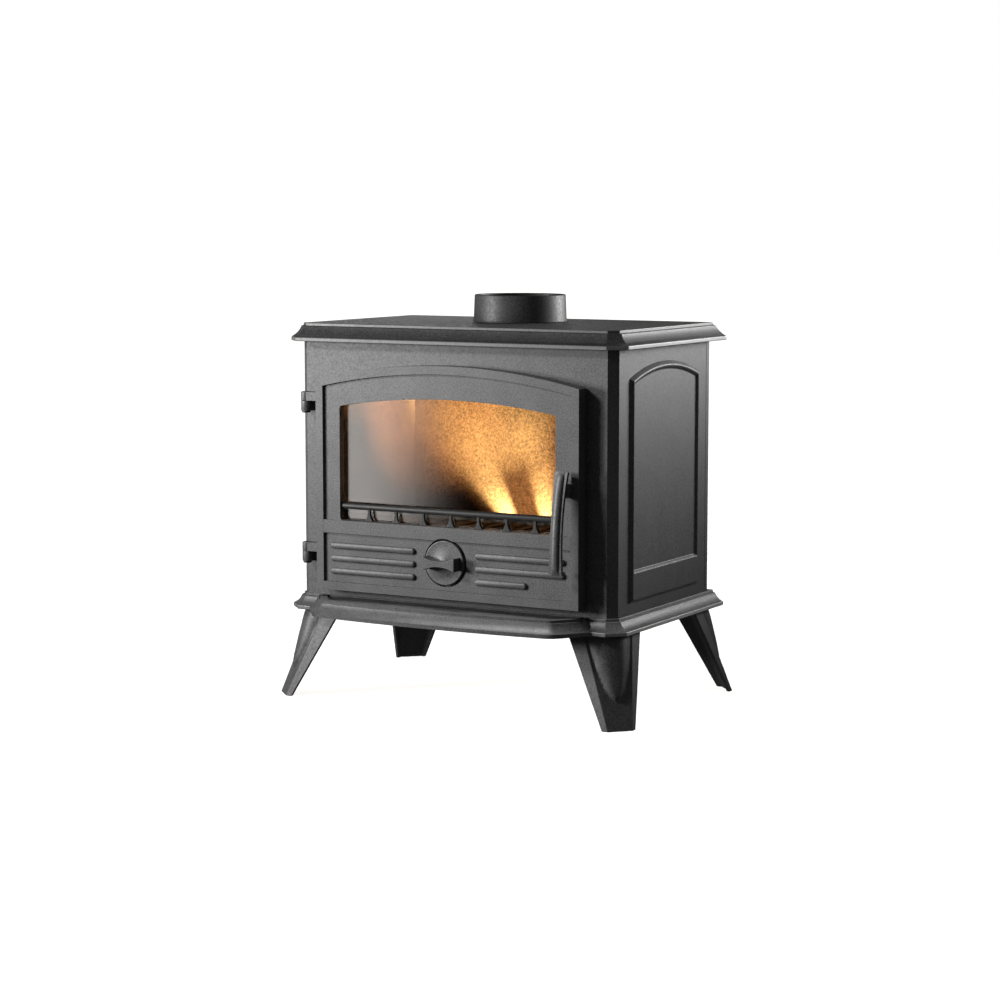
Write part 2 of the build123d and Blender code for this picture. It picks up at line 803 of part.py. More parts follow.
with BuildPart() as fireback:
    with Locations((0, fireback_y, liner_bottom)):
        Box(2 * (liner_x - fit_gap), liner_thickness, liner_height, align=(Align.CENTER, Align.MIN, Align.MIN))
    # plain raised panel towards the fire
    with BuildSketch(at_y(fireback_y)):
        with Locations((0, liner_bottom + liner_height / 2)):
            Rectangle(2 * fireback_panel_half, fireback_panel_height)
    extrude(amount=-fireback_panel_raise)
save(fireback, "fireback")

with BuildPart() as baffle_plate:
    with Locations((0, front_y + baffle_front, liner_top)):
        Box(2 * (liner_x + liner_thickness - fit_gap), fireback_y + liner_thickness - front_y - baffle_front,
            baffle_thickness, align=(Align.CENTER, Align.MIN, Align.MIN))
save(baffle_plate, "baffle_plate")

with BuildPart() as log_guard:
    guard_y = front_y + guard_front
    opening_height = guard_top - guard_bar - cross_bar_top - guard_foot
    with BuildSketch(at_y(guard_y)):
        with Locations((0, cross_bar_top)):
            Rectangle(2 * guard_half, guard_top - cross_bar_top, align=(Align.CENTER, Align.MIN))
        with Locations((0, cross_bar_top + guard_foot + opening_height / 2)):
            with GridLocations(guard_pitch, 1, guard_openings, 1):
                Rectangle(guard_pitch - guard_post, opening_height, mode=Mode.SUBTRACT)
    extrude(amount=guard_thickness)
    foot_z = cross_bar_top + guard_foot
    corners = log_guard.edges().filter_by(Axis.Y).filter_by_position(Axis.Z, foot_z - fit_gap, foot_z + fit_gap)
    fillet(corners, guard_foot_radius)
save(log_guard, "log_guard")

# ================================================================ door
dial_at = (0, dial_z)
handle_at = (-handle_x, handle_z)
clip_posts = [
    (side * (window_half + glass_lap + clip_post_radius + clip_post_gap), z)
    for side in (-1, 1) for z in clip_side_zs
] + [
    (side * clip_top_x, z) for side in (-1, 1)
    for z in (window_apex + glass_lap + clip_post_radius - clip_top_drop,
              window_bottom - glass_lap - clip_post_radius - clip_post_gap)
]


def slot_ring(plane):
    """The air slots round the dial's spindle, as one sketch on a plane."""
    with BuildSketch(plane) as slots:
        with Locations(dial_at):
            with PolarLocations(0, air_slot_count):
                SlotArc(CenterArc((0, 0), air_slot_mid, -air_slot_arc / 2, air_slot_arc), air_slot_width)
    return slots.sketch


def rib_slot(x_from, x_to, row):
    """One raised rib of the lower panel, between two x places in a row counted from the top."""
    length = x_to - x_from
    with BuildSketch(at_y(panel_y - rib_raise)) as rib:
        with Locations((-(x_from + x_to) / 2, rib_top_z - row * rib_pitch)):
            SlotOverall(length, rib_height)
    return rib.sketch


pocket_floor_y = panel_y + dial_pocket_depth
pocket_back_y = pocket_floor_y + dial_pocket_wall
with BuildPart() as door_frame:
    # skin, raised border, skirt and cross bar
    extrude(door_outline(panel_y), amount=door_skin)
    extrude(door_outline(door_face_y), amount=panel_sink)
    extrude(door_outline(door_face_y, door_border), amount=panel_sink, mode=Mode.SUBTRACT)
    extrude(door_outline(skin_back_y), amount=door_back_y - skin_back_y)
    extrude(door_outline(skin_back_y, skirt), amount=door_back_y - skin_back_y, mode=Mode.SUBTRACT)
    with Locations((0, door_face_y, bar_bottom)):
        Box(2 * (door_half - door_border), panel_sink, bar_top - bar_bottom,
            align=(Align.CENTER, Align.MIN, Align.MIN))
    # rim round the window that the glass beds on
    extrude(window_outline(skin_back_y, -reveal_wall),
            amount=glass_front_y - glass_seal_thickness - skin_back_y)
    # bosses: air dial pocket, handle spindle, glass clips
    rounds(at_y(skin_back_y), [dial_at], dial_pocket_radius + dial_pocket_wall, pocket_back_y - skin_back_y)
    rounds(at_y(front_y - handle_boss_out), [handle_at], handle_boss_radius, handle_boss_out - door_gap)
    rounds(at_y(skin_back_y), clip_posts, clip_post_radius, glass_back_y - skin_back_y)
    # openings
    extrude(window_outline(door_face_y), amount=door_proud, mode=Mode.SUBTRACT)
    rounds(at_y(door_face_y), [dial_at], dial_pocket_radius, pocket_floor_y - door_face_y, Mode.SUBTRACT)
    rounds(at_y(pocket_floor_y), [dial_at], air_spindle_radius + running_fit, dial_pocket_wall, Mode.SUBTRACT)
    extrude(slot_ring(at_y(pocket_floor_y)), amount=dial_pocket_wall, mode=Mode.SUBTRACT)
    rounds(at_y(front_y - handle_boss_out), [handle_at], handle_spindle_radius + running_fit, handle_boss_out,
           Mode.SUBTRACT)
    rounds(at_y(glass_back_y), clip_posts, clip_screw_radius + screw_clearance, skin_back_y - glass_back_y,
           Mode.SUBTRACT)
    # groove for the rope seal
    extrude(door_outline(door_back_y, seal_inset), amount=-seal_groove, mode=Mode.SUBTRACT)
    extrude(door_outline(door_back_y, seal_inset + seal_width), amount=-seal_groove)
    extrude(door_outline(door_back_y, skirt), amount=-seal_groove, mode=Mode.SUBTRACT)
    # raised ribs of the lower panel
    for row in range(3):
        outer_x = rib_outer_x if row < 2 else short_rib_x
        extrude(rib_slot(-rib_outer_x, -rib_inner_x, row), amount=rib_raise)
        extrude(rib_slot(rib_inner_x, outer_x, row), amount=rib_raise)
    # hinge eyes on the left edge
    for split in hinge_split_zs:
        with BuildSketch(Plane.XY.offset(split + lug_gap / 2)):
            with Locations((-pin_x, front_y - pin_out)):
                Circle(lug_radius)
                Rectangle(pin_x - door_half + root_lap, 2 * lug_radius, align=(Align.MIN, Align.CENTER))
        extrude(amount=lug_height)
        with BuildSketch(Plane.XY.offset(split + lug_gap / 2)):
            with Locations((-pin_x, front_y - pin_out)):
                Circle(pin_radius + running_fit)
        extrude(amount=lug_height, mode=Mode.SUBTRACT)
save(door_frame, "door_frame")

with BuildPart() as door_glass:
    extrude(window_outline(glass_front_y, -glass_lap), amount=glass_thickness)
save(door_glass, "door_glass")

with BuildPart() as glass_seal:
    extrude(window_outline(glass_front_y, -reveal_wall), amount=-glass_seal_thickness)
    extrude(window_outline(glass_front_y), amount=-glass_seal_thickness, mode=Mode.SUBTRACT)
save(glass_seal, "glass_seal")

with BuildPart() as door_seal:
    seal_front_y = door_back_y - seal_groove
    extrude(door_outline(seal_front_y, seal_inset), amount=front_y - seal_clearance - seal_front_y)
    extrude(door_outline(seal_front_y, seal_inset + seal_width),
            amount=front_y - seal_clearance - seal_front_y, mode=Mode.SUBTRACT)
save(door_seal, "door_seal")

with BuildPart() as glass_clips:
    with BuildSketch(at_y(glass_back_y)):
        with Locations(*clip_posts[:4]):
            Rectangle(2 * (clip_post_radius + clip_reach), clip_width)
        with Locations(*clip_posts[4:]):
            Rectangle(clip_width, 2 * (clip_post_radius + clip_reach))
        with Locations(*clip_posts):
            Circle(clip_screw_radius + screw_clearance, mode=Mode.SUBTRACT)
    extrude(amount=clip_thickness)
    # trimmed to the inside of the skirt
    extrude(door_outline(glass_back_y, skirt + fit_gap), amount=clip_thickness, mode=Mode.INTERSECT)
save(glass_clips, "glass_clips")

with BuildPart() as glass_clip_screws:
    clip_back = at_y(glass_back_y + clip_thickness)
    rounds(clip_back, clip_posts, clip_screw_head, clip_thickness)
    rounds(clip_back, clip_posts, clip_screw_radius,
           screw_end_gap - clip_thickness - glass_back_y + skin_back_y)
save(glass_clip_screws, "glass_clip_screws")

# ================================================================ air dial
dial_back_y = pocket_floor_y - dial_standoff
rim_y = dial_back_y - dial_rim
crown_y = rim_y - dial_dome
with BuildPart() as air_dial:
    with BuildSketch(Plane.YZ):
        with BuildLine():
            Polyline((crown_y, dial_z), (dial_back_y, dial_z), (dial_back_y, dial_z + dial_radius),
                     (rim_y, dial_z + dial_radius))
            SagittaArc((rim_y, dial_z + dial_radius), (crown_y, dial_z), -dial_dome / 2)
        make_face()
    revolve(axis=Axis((0, 0, dial_z), (0, 1, 0)))
    # bow-tie grip with scooped sides
    with BuildSketch(at_y(front_y - grip_height)):
        with BuildLine():
            for end in (-1, 1):
                Line((end * grip_half, dial_z - grip_end_half), (end * grip_half, dial_z + grip_end_half))
                ThreePointArc((-grip_half, dial_z + end * grip_end_half), (0, dial_z + end * grip_waist_half),
                              (grip_half, dial_z + end * grip_end_half))
        make_face()
    extrude(amount=rim_y - front_y + grip_height + root_lap)
    rounds(at_y(dial_back_y), [dial_at], air_spindle_radius + push_fit, -dial_rim, Mode.SUBTRACT)
save(air_dial, "air_dial")

shutter_front_y = pocket_back_y + seal_clearance
shutter_back_y = shutter_front_y + shutter_thickness
with BuildPart() as air_spindle:
    rounds(at_y(dial_back_y - dial_rim), [dial_at], air_spindle_radius,
           shutter_back_y + air_nut_height - dial_back_y + dial_rim)
save(air_spindle, "air_spindle")

with BuildPart() as air_shutter:
    rounds(at_y(shutter_front_y), [dial_at], shutter_radius, shutter_thickness)
    rounds(at_y(shutter_front_y), [dial_at], air_spindle_radius + push_fit, shutter_thickness, Mode.SUBTRACT)
    extrude(slot_ring(at_y(shutter_front_y)), amount=shutter_thickness, mode=Mode.SUBTRACT)
save(air_shutter, "air_shutter")

with BuildPart() as air_nut:
    hex_heads(at_y(shutter_back_y), [dial_at], air_nut_radius, air_nut_height)
    rounds(at_y(shutter_back_y), [dial_at], air_spindle_radius + push_fit, air_nut_height, Mode.SUBTRACT)
save(air_nut, "air_nut")

# ================================================================ door handle and latch
handle_back_y = front_y - handle_boss_out - handle_boss_gap
cam_y = front_y + wall + keeper_thickness + cam_clearance
handle_mid_z = (handle_top + handle_bottom) / 2


def lever_arc(behind):
    """The lever's bow from top to bottom, as points a distance behind its front face."""
    return ThreePointArc(
        (front_y - handle_top_out + behind, handle_top),
        (front_y - handle_mid_out + behind, handle_mid_z),
        (front_y - handle_bottom_out + behind, handle_bottom),
    )


def lever_side():
    """Side view of the lever: a bowed plate of even thickness."""
    with BuildSketch(Plane.YZ) as view:
        with BuildLine():
            face = lever_arc(0)
            back = lever_arc(handle_thickness)
            Line(face @ 0, back @ 0)
            Line(face @ 1, back @ 1)
        make_face()
    return view.sketch


def lever_front():
    """Front view of the lever: slightly waisted between its two ends."""
    with BuildSketch(at_y(front_y - 2 * handle_bottom_out)) as view:
        with BuildLine():
            for edge in (-1, 1):
                ThreePointArc((-handle_x + edge * handle_end_half, handle_top),
                              (-handle_x + edge * handle_waist_half, handle_mid_z),
                              (-handle_x + edge * handle_end_half, handle_bottom))
            for end_z in (handle_top, handle_bottom):
                Line((-handle_x - handle_end_half, end_z), (-handle_x + handle_end_half, end_z))
        make_face()
    return view.sketch


with BuildPart() as handle_lever:
    extrude(lever_side(), amount=2 * handle_x)
    extrude(lever_front(), amount=2 * handle_bottom_out, mode=Mode.INTERSECT)
    # rounded rib down the middle
    with BuildLine(Plane.YZ.offset(handle_x)) as rib_path:
        lever_arc(0)
    with BuildSketch(Plane(rib_path.line @ 0, x_dir=(1, 0, 0), z_dir=rib_path.line % 0)):
        Ellipse(handle_rib_half, handle_rib_raise)
    sweep(path=rib_path.line)
    # hub on the door's boss, and the toe at the lower end
    rounds(at_y(handle_back_y), [handle_at], handle_boss_radius,
           front_y - handle_top_out - handle_thickness / 2 - handle_back_y)
    with Locations((handle_x, front_y - handle_bottom_out + root_lap, handle_bottom)):
        Box(2 * handle_end_half, 2 * handle_thickness, handle_thickness,
            align=(Align.CENTER, Align.MIN, Align.MIN))
    rounds(at_y(handle_back_y), [handle_at], handle_spindle_radius + push_fit, -handle_thickness, Mode.SUBTRACT)
save(handle_lever, "handle_lever")

cam_back_y = cam_y + cam_thickness
with BuildPart() as handle_spindle:
    rounds(at_y(handle_back_y - handle_thickness), [handle_at], handle_spindle_radius,
           cam_back_y + handle_nut_height - handle_back_y + handle_thickness)
save(handle_spindle, "handle_spindle")

hub_front_y = door_back_y + hub_gap
with BuildPart() as latch_cam:
    rounds(at_y(hub_front_y), [handle_at], cam_hub_radius, cam_back_y - hub_front_y)
    with BuildSketch(at_y(cam_y)):
        with Locations(handle_at):
            SlotCenterPoint((-cam_reach / 2 + cam_width / 4, 0), (-cam_reach + cam_width / 2, 0), cam_width)
    extrude(amount=cam_thickness)
    rounds(at_y(hub_front_y), [handle_at], handle_spindle_radius + push_fit, cam_back_y - hub_front_y,
           Mode.SUBTRACT)
save(latch_cam, "latch_cam")

with BuildPart() as handle_nut:
    hex_heads(at_y(cam_back_y), [handle_at], handle_nut_radius, handle_nut_height)
    rounds(at_y(cam_back_y), [handle_at], handle_spindle_radius + push_fit, handle_nut_height, Mode.SUBTRACT)
save(handle_nut, "handle_nut")

with BuildPart() as latch_keeper:
    with BuildSketch(at_y(front_y + wall)):
        with Locations((-(door_half - opening_inset + keeper_lap), handle_z)):
            Rectangle(keeper_width, 2 * keeper_half_height, align=(Align.MAX, Align.CENTER))
        with Locations(*keeper_screw_points):
            Circle(m6_radius + bolt_clearance, mode=Mode.SUBTRACT)
    extrude(amount=keeper_thickness)
save(latch_keeper, "latch_keeper")

with BuildPart() as keeper_screws:
    rounds(at_y(front_y + wall + keeper_thickness), keeper_screw_points, m6_head, head_height / 2)
    rounds(at_y(front_y + wall + keeper_thickness), keeper_screw_points, m6_radius,
           screw_end_gap - keeper_thickness - keeper_hole_depth)
save(keeper_screws, "keeper_screws")

# ================================================================ hinges
for split, name in zip(hinge_split_zs, ("upper", "lower")):
    with BuildPart() as hinge_lug:
        with BuildSketch(Plane.XY.offset(split - lug_gap / 2)):
            with Locations((-pin_x, front_y - pin_out)):
                Circle(lug_radius)
                Rectangle(2 * lug_radius, pin_out, align=(Align.CENTER, Align.MIN))
                Circle(pin_radius + push_fit, mode=Mode.SUBTRACT)
        extrude(amount=-body_lug_height)
        rounds(at_y(front_y), [(pin_x, split - lug_gap / 2 - body_lug_height / 2)], m6_radius + screw_clearance,
               -pin_out / 2, Mode.SUBTRACT)
    save(hinge_lug, f"hinge_lug_{name}")
    with BuildPart() as hinge_pin:
        pin_low = split - lug_gap / 2 - body_lug_height
        pin_at = [(-pin_x, front_y - pin_out)]
        rounds(Plane.XY.offset(pin_low), pin_at, pin_radius, body_lug_height + lug_gap + lug_height)
        rounds(Plane.XY.offset(pin_low), pin_at, pin_head_radius, -pin_head_height)
    save(hinge_pin, f"hinge_pin_{name}")

with BuildPart() as hinge_lug_screws:
    rounds(at_y(front_y + wall), lug_screw_points, m6_head, head_height / 2)
    rounds(at_y(front_y + wall), lug_screw_points, m6_radius, screw_end_gap - wall - pin_out / 2)
save(hinge_lug_screws, "hinge_lug_screws")
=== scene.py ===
"""A cast-iron wood burning stove: the surfaces, finishes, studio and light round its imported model."""

import math  # noqa: E402

import bpy  # noqa: E402
import numpy as np  # noqa: E402
from bpy.props import FloatProperty, FloatVectorProperty, PointerProperty  # noqa: E402
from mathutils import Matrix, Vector  # noqa: E402


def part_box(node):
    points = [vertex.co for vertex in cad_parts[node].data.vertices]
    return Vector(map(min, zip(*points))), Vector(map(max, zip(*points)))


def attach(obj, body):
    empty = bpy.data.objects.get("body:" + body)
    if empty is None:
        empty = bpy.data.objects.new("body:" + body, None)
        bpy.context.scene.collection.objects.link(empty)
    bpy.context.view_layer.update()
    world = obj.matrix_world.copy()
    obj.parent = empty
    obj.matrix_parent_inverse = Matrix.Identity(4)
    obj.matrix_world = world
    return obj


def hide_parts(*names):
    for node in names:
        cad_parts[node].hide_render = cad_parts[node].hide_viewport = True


bl_info = {
    "name": "Wood Burning Stove",
    "version": (1, 0, 0),
    "blender": (4, 5, 0),
    "location": "3D View > Sidebar > Stove",
    "description": "Builds the castings, glass, fittings and studio of a wood burning stove",
    "category": "Add Mesh",
}

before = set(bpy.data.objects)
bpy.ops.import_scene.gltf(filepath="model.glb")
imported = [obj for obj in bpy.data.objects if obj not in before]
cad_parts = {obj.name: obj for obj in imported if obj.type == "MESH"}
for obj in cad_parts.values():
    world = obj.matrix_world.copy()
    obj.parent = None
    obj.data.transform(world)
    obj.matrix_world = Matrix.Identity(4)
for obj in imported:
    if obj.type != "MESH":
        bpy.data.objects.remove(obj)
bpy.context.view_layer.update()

MM = 0.001
ROOT2 = math.sqrt(2)
# The colour sockets of a Mix node, whose names its float sockets share.
DARK, LIGHT = 6, 7

# Places that everything else is measured from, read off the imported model, in metres.
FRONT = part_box("front_plate")[0][1]
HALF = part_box("front_plate")[1][0]
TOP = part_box("top_plate")[1][2]
CORNICE_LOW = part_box("top_plate")[0][2]
BASE_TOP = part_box("front_plate")[0][2]
BASE_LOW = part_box("base_plate")[0][2]
FLUE_Y = (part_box("flue_collar")[0][1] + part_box("flue_collar")[1][1]) / 2
DIAL_Z = 244.0 * MM
HANDLE_AT = (222 * MM, FRONT, 373.5 * MM)
PIN_X, PIN_Y = -269.2 * MM, FRONT - 19 * MM
# Radii of the bore and the outside that the handle's hub and the door's boss share.
BORE, HUB = 5.05 * MM, 11.3 * MM


def rgb(code):
    """Linear RGBA of an sRGB hex colour: a line below 0.04045, and a 2.4 power curve above it."""
    srgb = np.array([int(code[i : i + 2], 16) for i in (1, 3, 5)]) / 255
    linear = np.where(srgb <= 0.04045, srgb / 12.92, ((srgb + 0.055) / 1.055) ** 2.4)
    return (*linear.tolist(), 1.0)


def add_node(tree, kind, inputs=None, **settings):
    """Adds a node with its settings; an input is a value, or another node's socket to link."""
    node = tree.nodes.new(kind)
    for key, value in settings.items():
        setattr(node, key, value)
    for key, value in (inputs or {}).items():
        if isinstance(value, bpy.types.NodeSocket):
            tree.links.new(value, node.inputs[key])
        else:
            node.inputs[key].default_value = value
    return node


def new_material(name):
    """An empty node material, its tree, and object coordinates to draw patterns by."""
    material = bpy.data.materials.new(name)
    material.use_nodes = True
    tree = material.node_tree
    tree.nodes.clear()
    return material, tree, add_node(tree, "ShaderNodeTexCoord").outputs["Object"]


def noise(tree, place, size_mm, **inputs):
    """Noise whose lumps have a real size in millimetres."""
    inputs = {"Vector": place, "Scale": 1 / (size_mm * MM), **inputs}
    return add_node(tree, "ShaderNodeTexNoise", inputs).outputs["Fac"]


def ranged(tree, value, low, high, start=0.0, end=1.0, **settings):
    """A value's range from start to end, stretched to low to high."""
    inputs = {"Value": value, "From Min": start, "From Max": end, "To Min": low, "To Max": high}
    return add_node(tree, "ShaderNodeMapRange", inputs, **settings).outputs[0]


def between(tree, share, dark, light):
    """A colour between two, by a share."""
    inputs = {"Factor": share, DARK: dark, LIGHT: light}
    return add_node(tree, "ShaderNodeMix", inputs, data_type="RGBA").outputs[2]


def raised(tree, height, depth_mm, strength, **inputs):
    """The surface's normal, leant as if a height of this depth stood on it."""
    inputs = {"Height": height, "Distance": depth_mm * MM, "Strength": strength, **inputs}
    return add_node(tree, "ShaderNodeBump", inputs).outputs[0]


def surface(tree, inputs, kind="ShaderNodeBsdfPrincipled"):
    """Gives the material its shader."""
    shader = add_node(tree, kind, inputs)
    add_node(tree, "ShaderNodeOutputMaterial", {"Surface": shader.outputs[0]})


# ---- materials
def cast_iron(name, dark, light, roughness, grain_mm, pit_mm, lump_mm, relief, gloss):
    """Grey cast iron from a sand mould: fine sand grain, small pits and slow lumps left by the mould.

    The grain of real moulding sand is about a third of a millimetre. It is drawn some eight times
    as coarse so that it still shows. Its paint or soot is matt, with a soft wide highlight.
    """
    material, tree, place = new_material(name)
    grain = noise(tree, place, grain_mm, Detail=3.0, Roughness=0.7)
    lumps = noise(tree, place, lump_mm, Detail=2.0, Roughness=0.5)
    pits = add_node(tree, "ShaderNodeTexVoronoi", {"Vector": place, "Scale": 1 / (pit_mm * MM)},
                    feature="SMOOTH_F1").outputs["Distance"]
    mottle = ranged(tree, grain, 0.0, 1.0, 0.3, 0.7)
    cloud = ranged(tree, lumps, -0.1, 0.1, 0.3, 0.7)
    shade = add_node(tree, "ShaderNodeMath", {0: mottle, 1: cloud}, operation="ADD").outputs[0]
    slow = raised(tree, lumps, 0.5 * relief, 0.15)
    pitted = raised(tree, pits, 0.25 * relief, 0.5, Normal=slow)
    surface(tree, {"Base Color": between(tree, shade, dark, light),
                   "Roughness": ranged(tree, pits, roughness - 0.07, roughness + 0.07, 0.1, 0.8),
                   "Normal": raised(tree, grain, 0.4 * relief, 0.6, Normal=pitted),
                   "IOR": 1.5, "Specular IOR Level": gloss})
    return material


def steel(name, dark, light, roughness, streak_mm):
    """Mild steel as it comes from the screw maker: turned or rolled, with faint streaks and dull patches."""
    material, tree, place = new_material(name)
    streaks = noise(tree, place, streak_mm, Detail=4.0, Distortion=1.5)
    surface(tree, {"Base Color": between(tree, streaks, dark, light), "Metallic": 1.0,
                   "Roughness": ranged(tree, streaks, roughness - 0.1, roughness + 0.1),
                   "Normal": raised(tree, streaks, 0.1, 0.3)})
    return material


def ceramic_glass(name, tint, haze_mm):
    """Clear heat-proof glass-ceramic, rolled: colourless with a trace of amber, and faint smoke haze."""
    material, tree, place = new_material(name)
    haze = noise(tree, place, haze_mm, Detail=3.0)
    surface(tree, {"Base Color": tint, "Roughness": ranged(tree, haze, 0.0, 0.02),
                   "Transmission Weight": 1.0, "IOR": 1.54})
    return material


def rope_yarn(name, dark, light, stitch_mm):
    """Knitted glass-fibre rope: matt dark yarn, its stitches seen as small slanting lumps."""
    material, tree, place = new_material(name)
    knit = add_node(tree, "ShaderNodeTexWave", {"Vector": place, "Scale": 0.3 / (stitch_mm * MM),
                                                "Distortion": 2.0, "Detail": 2.0},
                    bands_direction="DIAGONAL").outputs["Fac"]
    surface(tree, {"Base Color": between(tree, knit, dark, light), "Roughness": 0.95,
                   "Normal": raised(tree, knit, 0.8, 0.8), "Sheen Weight": 0.2})
    return material


def plaster(name, colour, patch_mm):
    """Smooth pale studio floor: painted boards, with barely visible cloudy patches."""
    material, tree, place = new_material(name)
    patches = noise(tree, place, patch_mm, Detail=2.0)
    surface(tree, {"Base Color": colour, "Roughness": ranged(tree, patches, 0.55, 0.7)})
    return material


def glowing_card(name, strength, dark_edge, bright_edge):
    """A lit white reflector card whose light fades out along X, as one lit from its far end does."""
    material, tree, place = new_material(name)
    along = add_node(tree, "ShaderNodeSeparateXYZ", {"Vector": place}).outputs[0]
    fade = ranged(tree, along, 0.0, strength, dark_edge, bright_edge, interpolation_type="SMOOTHERSTEP")
    surface(tree, {"Strength": fade}, "ShaderNodeEmission")
    return material


# ---- shapes
def unit(v):
    """Vectors divided by their lengths along the last axis."""
    return v / np.linalg.norm(v, axis=-1, keepdims=True)


def mitres(path, closed):
    """Offset direction at each point of a flat path, to the right of its travel.

    It is the sum of the two neighbouring edge normals over one plus their dot product.
    """
    edges = np.diff(path, axis=0, append=path[:1])
    if not closed:
        edges[-1] = edges[-2]
    ahead = unit(edges)
    behind = np.roll(ahead, 1, axis=0)
    if not closed:
        behind[0] = ahead[0]
    right_ahead, right_behind = ahead[:, ::-1] * (1, -1), behind[:, ::-1] * (1, -1)
    return (right_ahead + right_behind) / (1 + (right_ahead * right_behind).sum(1, keepdims=True))


def outward(verts, quads, caps):
    """A closed shell with its faces pointing out: turned round if its signed volume is below zero."""
    fans = [quads[:, (0, 1, 2)], quads[:, (0, 2, 3)]]
    for cap in caps:
        cap = np.asarray(cap)
        fans.append(np.stack([np.full(len(cap) - 2, cap[0]), cap[1:-1], cap[2:]], axis=1))
    a, b, c = (verts[np.concatenate(fans)[:, i]] for i in range(3))
    if (a * np.cross(b, c)).sum() < 0:
        quads = quads[:, ::-1]
        caps = [cap[::-1] for cap in caps]
    return verts, quads, [np.asarray(cap) for cap in caps]


def lofted(loops, wrap=False):
    """Closed skin through loops of equal length: quads between neighbours, flat caps at both ends.

    With wrap, the last loop joins the first instead, as on a ring.
    """
    loops = np.asarray(loops, float)
    rows, count = loops.shape[:2]
    index = np.arange(rows * count).reshape(rows, count)
    below = index if wrap else index[:-1]
    above = np.roll(index, -1, axis=0) if wrap else index[1:]
    corners = [below, np.roll(below, -1, axis=1), np.roll(above, -1, axis=1), above]
    caps = [] if wrap else [index[0][::-1], index[-1]]
    return outward(loops.reshape(-1, 3), np.stack(corners, axis=-1).reshape(-1, 4), caps)


def carried(path, profile, place, closed=True, start_cut=None, end_cut=None):
    """A closed profile of (out, height) points carried along a flat path with mitred corners.

    Point = place(path + out * mitre, height). An open path gets flat end caps, and a cut
    gives the path's second coordinate at an end as a function of height, as on a sloping end.
    """
    path, profile = np.asarray(path, float), np.asarray(profile, float)
    flat = path[:, None, :] + mitres(path, closed)[:, None, :] * profile[None, :, :1]
    height = np.broadcast_to(profile[None, :, 1], flat.shape[:2])
    if start_cut:
        flat[0, :, 1] = start_cut(height[0])
    if end_cut:
        flat[-1, :, 1] = end_cut(height[-1])
    return lofted(place(flat[..., 0], flat[..., 1], height), wrap=closed)


def in_plan(a, b, h):
    """Plan (x, y) at height z."""
    return np.stack([a, b, h], axis=-1)


def on_front(a, b, h):
    """Front view (x, z) standing h out of the front plate's face."""
    return np.stack([a, FRONT - h, b], axis=-1)


def level(ring, height):
    """A flat outline of the plan, lying at a height."""
    return in_plan(ring[:, 0], ring[:, 1], np.full(len(ring), height))


def standing(ring, stand):
    """A flat outline of the front view, standing out of the front plate's face."""
    return on_front(ring[:, 0], ring[:, 1], np.full(len(ring), stand))


def rounded(points, radius, steps=5, closed=True):
    """A flat outline with each corner replaced by an arc of a given radius.

    The arc touches both edges at radius / tan(half the corner's angle), and is centred on the bisector.
    """
    points = np.asarray(points, float)
    radii = np.broadcast_to(radius, len(points)).astype(float)
    made = []
    for i, (corner, r) in enumerate(zip(points, radii)):
        if r <= 0 or (not closed and i in (0, len(points) - 1)):
            made.append(corner[None])
            continue
        back = unit(points[i - 1] - corner)
        on = unit(points[(i + 1) % len(points)] - corner)
        half_angle = math.acos(np.clip(back @ on, -1, 1)) / 2
        centre = corner + unit(back + on) * r / math.sin(half_angle)
        start = corner + back * r / math.tan(half_angle) - centre
        end = corner + on * r / math.tan(half_angle) - centre
        t = np.linspace(0, 1, steps)[:, None]
        sweep = math.pi - 2 * half_angle
        swept = np.sin((1 - t) * sweep) * start + np.sin(t * sweep) * end
        made.append(centre + swept / math.sin(sweep))
    return np.concatenate(made)


def arched(half, low, corner, apex, inset=0.0, steps=49):
    """Outline with a flat foot and an arched head, inset evenly: foot left, foot right, then the arch.

    The arch is part of the circle through both corners and the apex, made smaller by the inset.
    """
    rise = apex - corner
    big = (half**2 + rise**2) / (2 * rise)
    reach = math.asin((half - inset) / (big - inset))
    turn = np.linspace(reach, -reach, steps)
    arch = np.stack([(big - inset) * np.sin(turn), apex - big + (big - inset) * np.cos(turn)], axis=1)
    return np.concatenate([[[-half + inset, low + inset], [half - inset, low + inset]], arch])


def turned(profile, centre, axis, steps):
    """A closed profile of (radius, along) points turned round an axis through a centre.

    Point = centre + along * axis + radius * (cos turn, sin turn) across it.
    """
    profile, axis = np.asarray(profile, float), np.asarray(axis, float)
    upright = abs(axis[2]) > 0.9
    side = unit(np.cross(axis, (1.0, 0.0, 0.0) if upright else (0.0, 0.0, 1.0)))
    other = np.cross(axis, side)
    turn = np.linspace(0, 2 * math.pi, steps, endpoint=False)
    rim = np.cos(turn)[:, None] * side + np.sin(turn)[:, None] * other
    loops = np.asarray(centre) + profile[:, None, 1:] * axis + profile[:, None, :1] * rim
    return lofted(loops, wrap=True)


def block(low, high):
    """A closed box between two corners, to be softened by its piece's bevel."""
    (x0, y0, z0), (x1, y1, z1) = low, high
    foot = np.array([[x0, y0], [x1, y0], [x1, y1], [x0, y1]])
    return lofted([level(foot, z0), level(foot, z1)])


def tube(bore, outside, low, high, radii, centre, axis):
    """A turned sleeve between two distances along an axis, its section's four corners rounded."""
    section = [(bore, low), (outside, low), (outside, high), (bore, high)]
    return turned(rounded(section, radii), centre, axis, 48)


def fronted(loops, wrap=False):
    """Closed skin through front view outlines, each with its distance out of the front plate."""
    return lofted([standing(ring, stand) for ring, stand in loops], wrap)


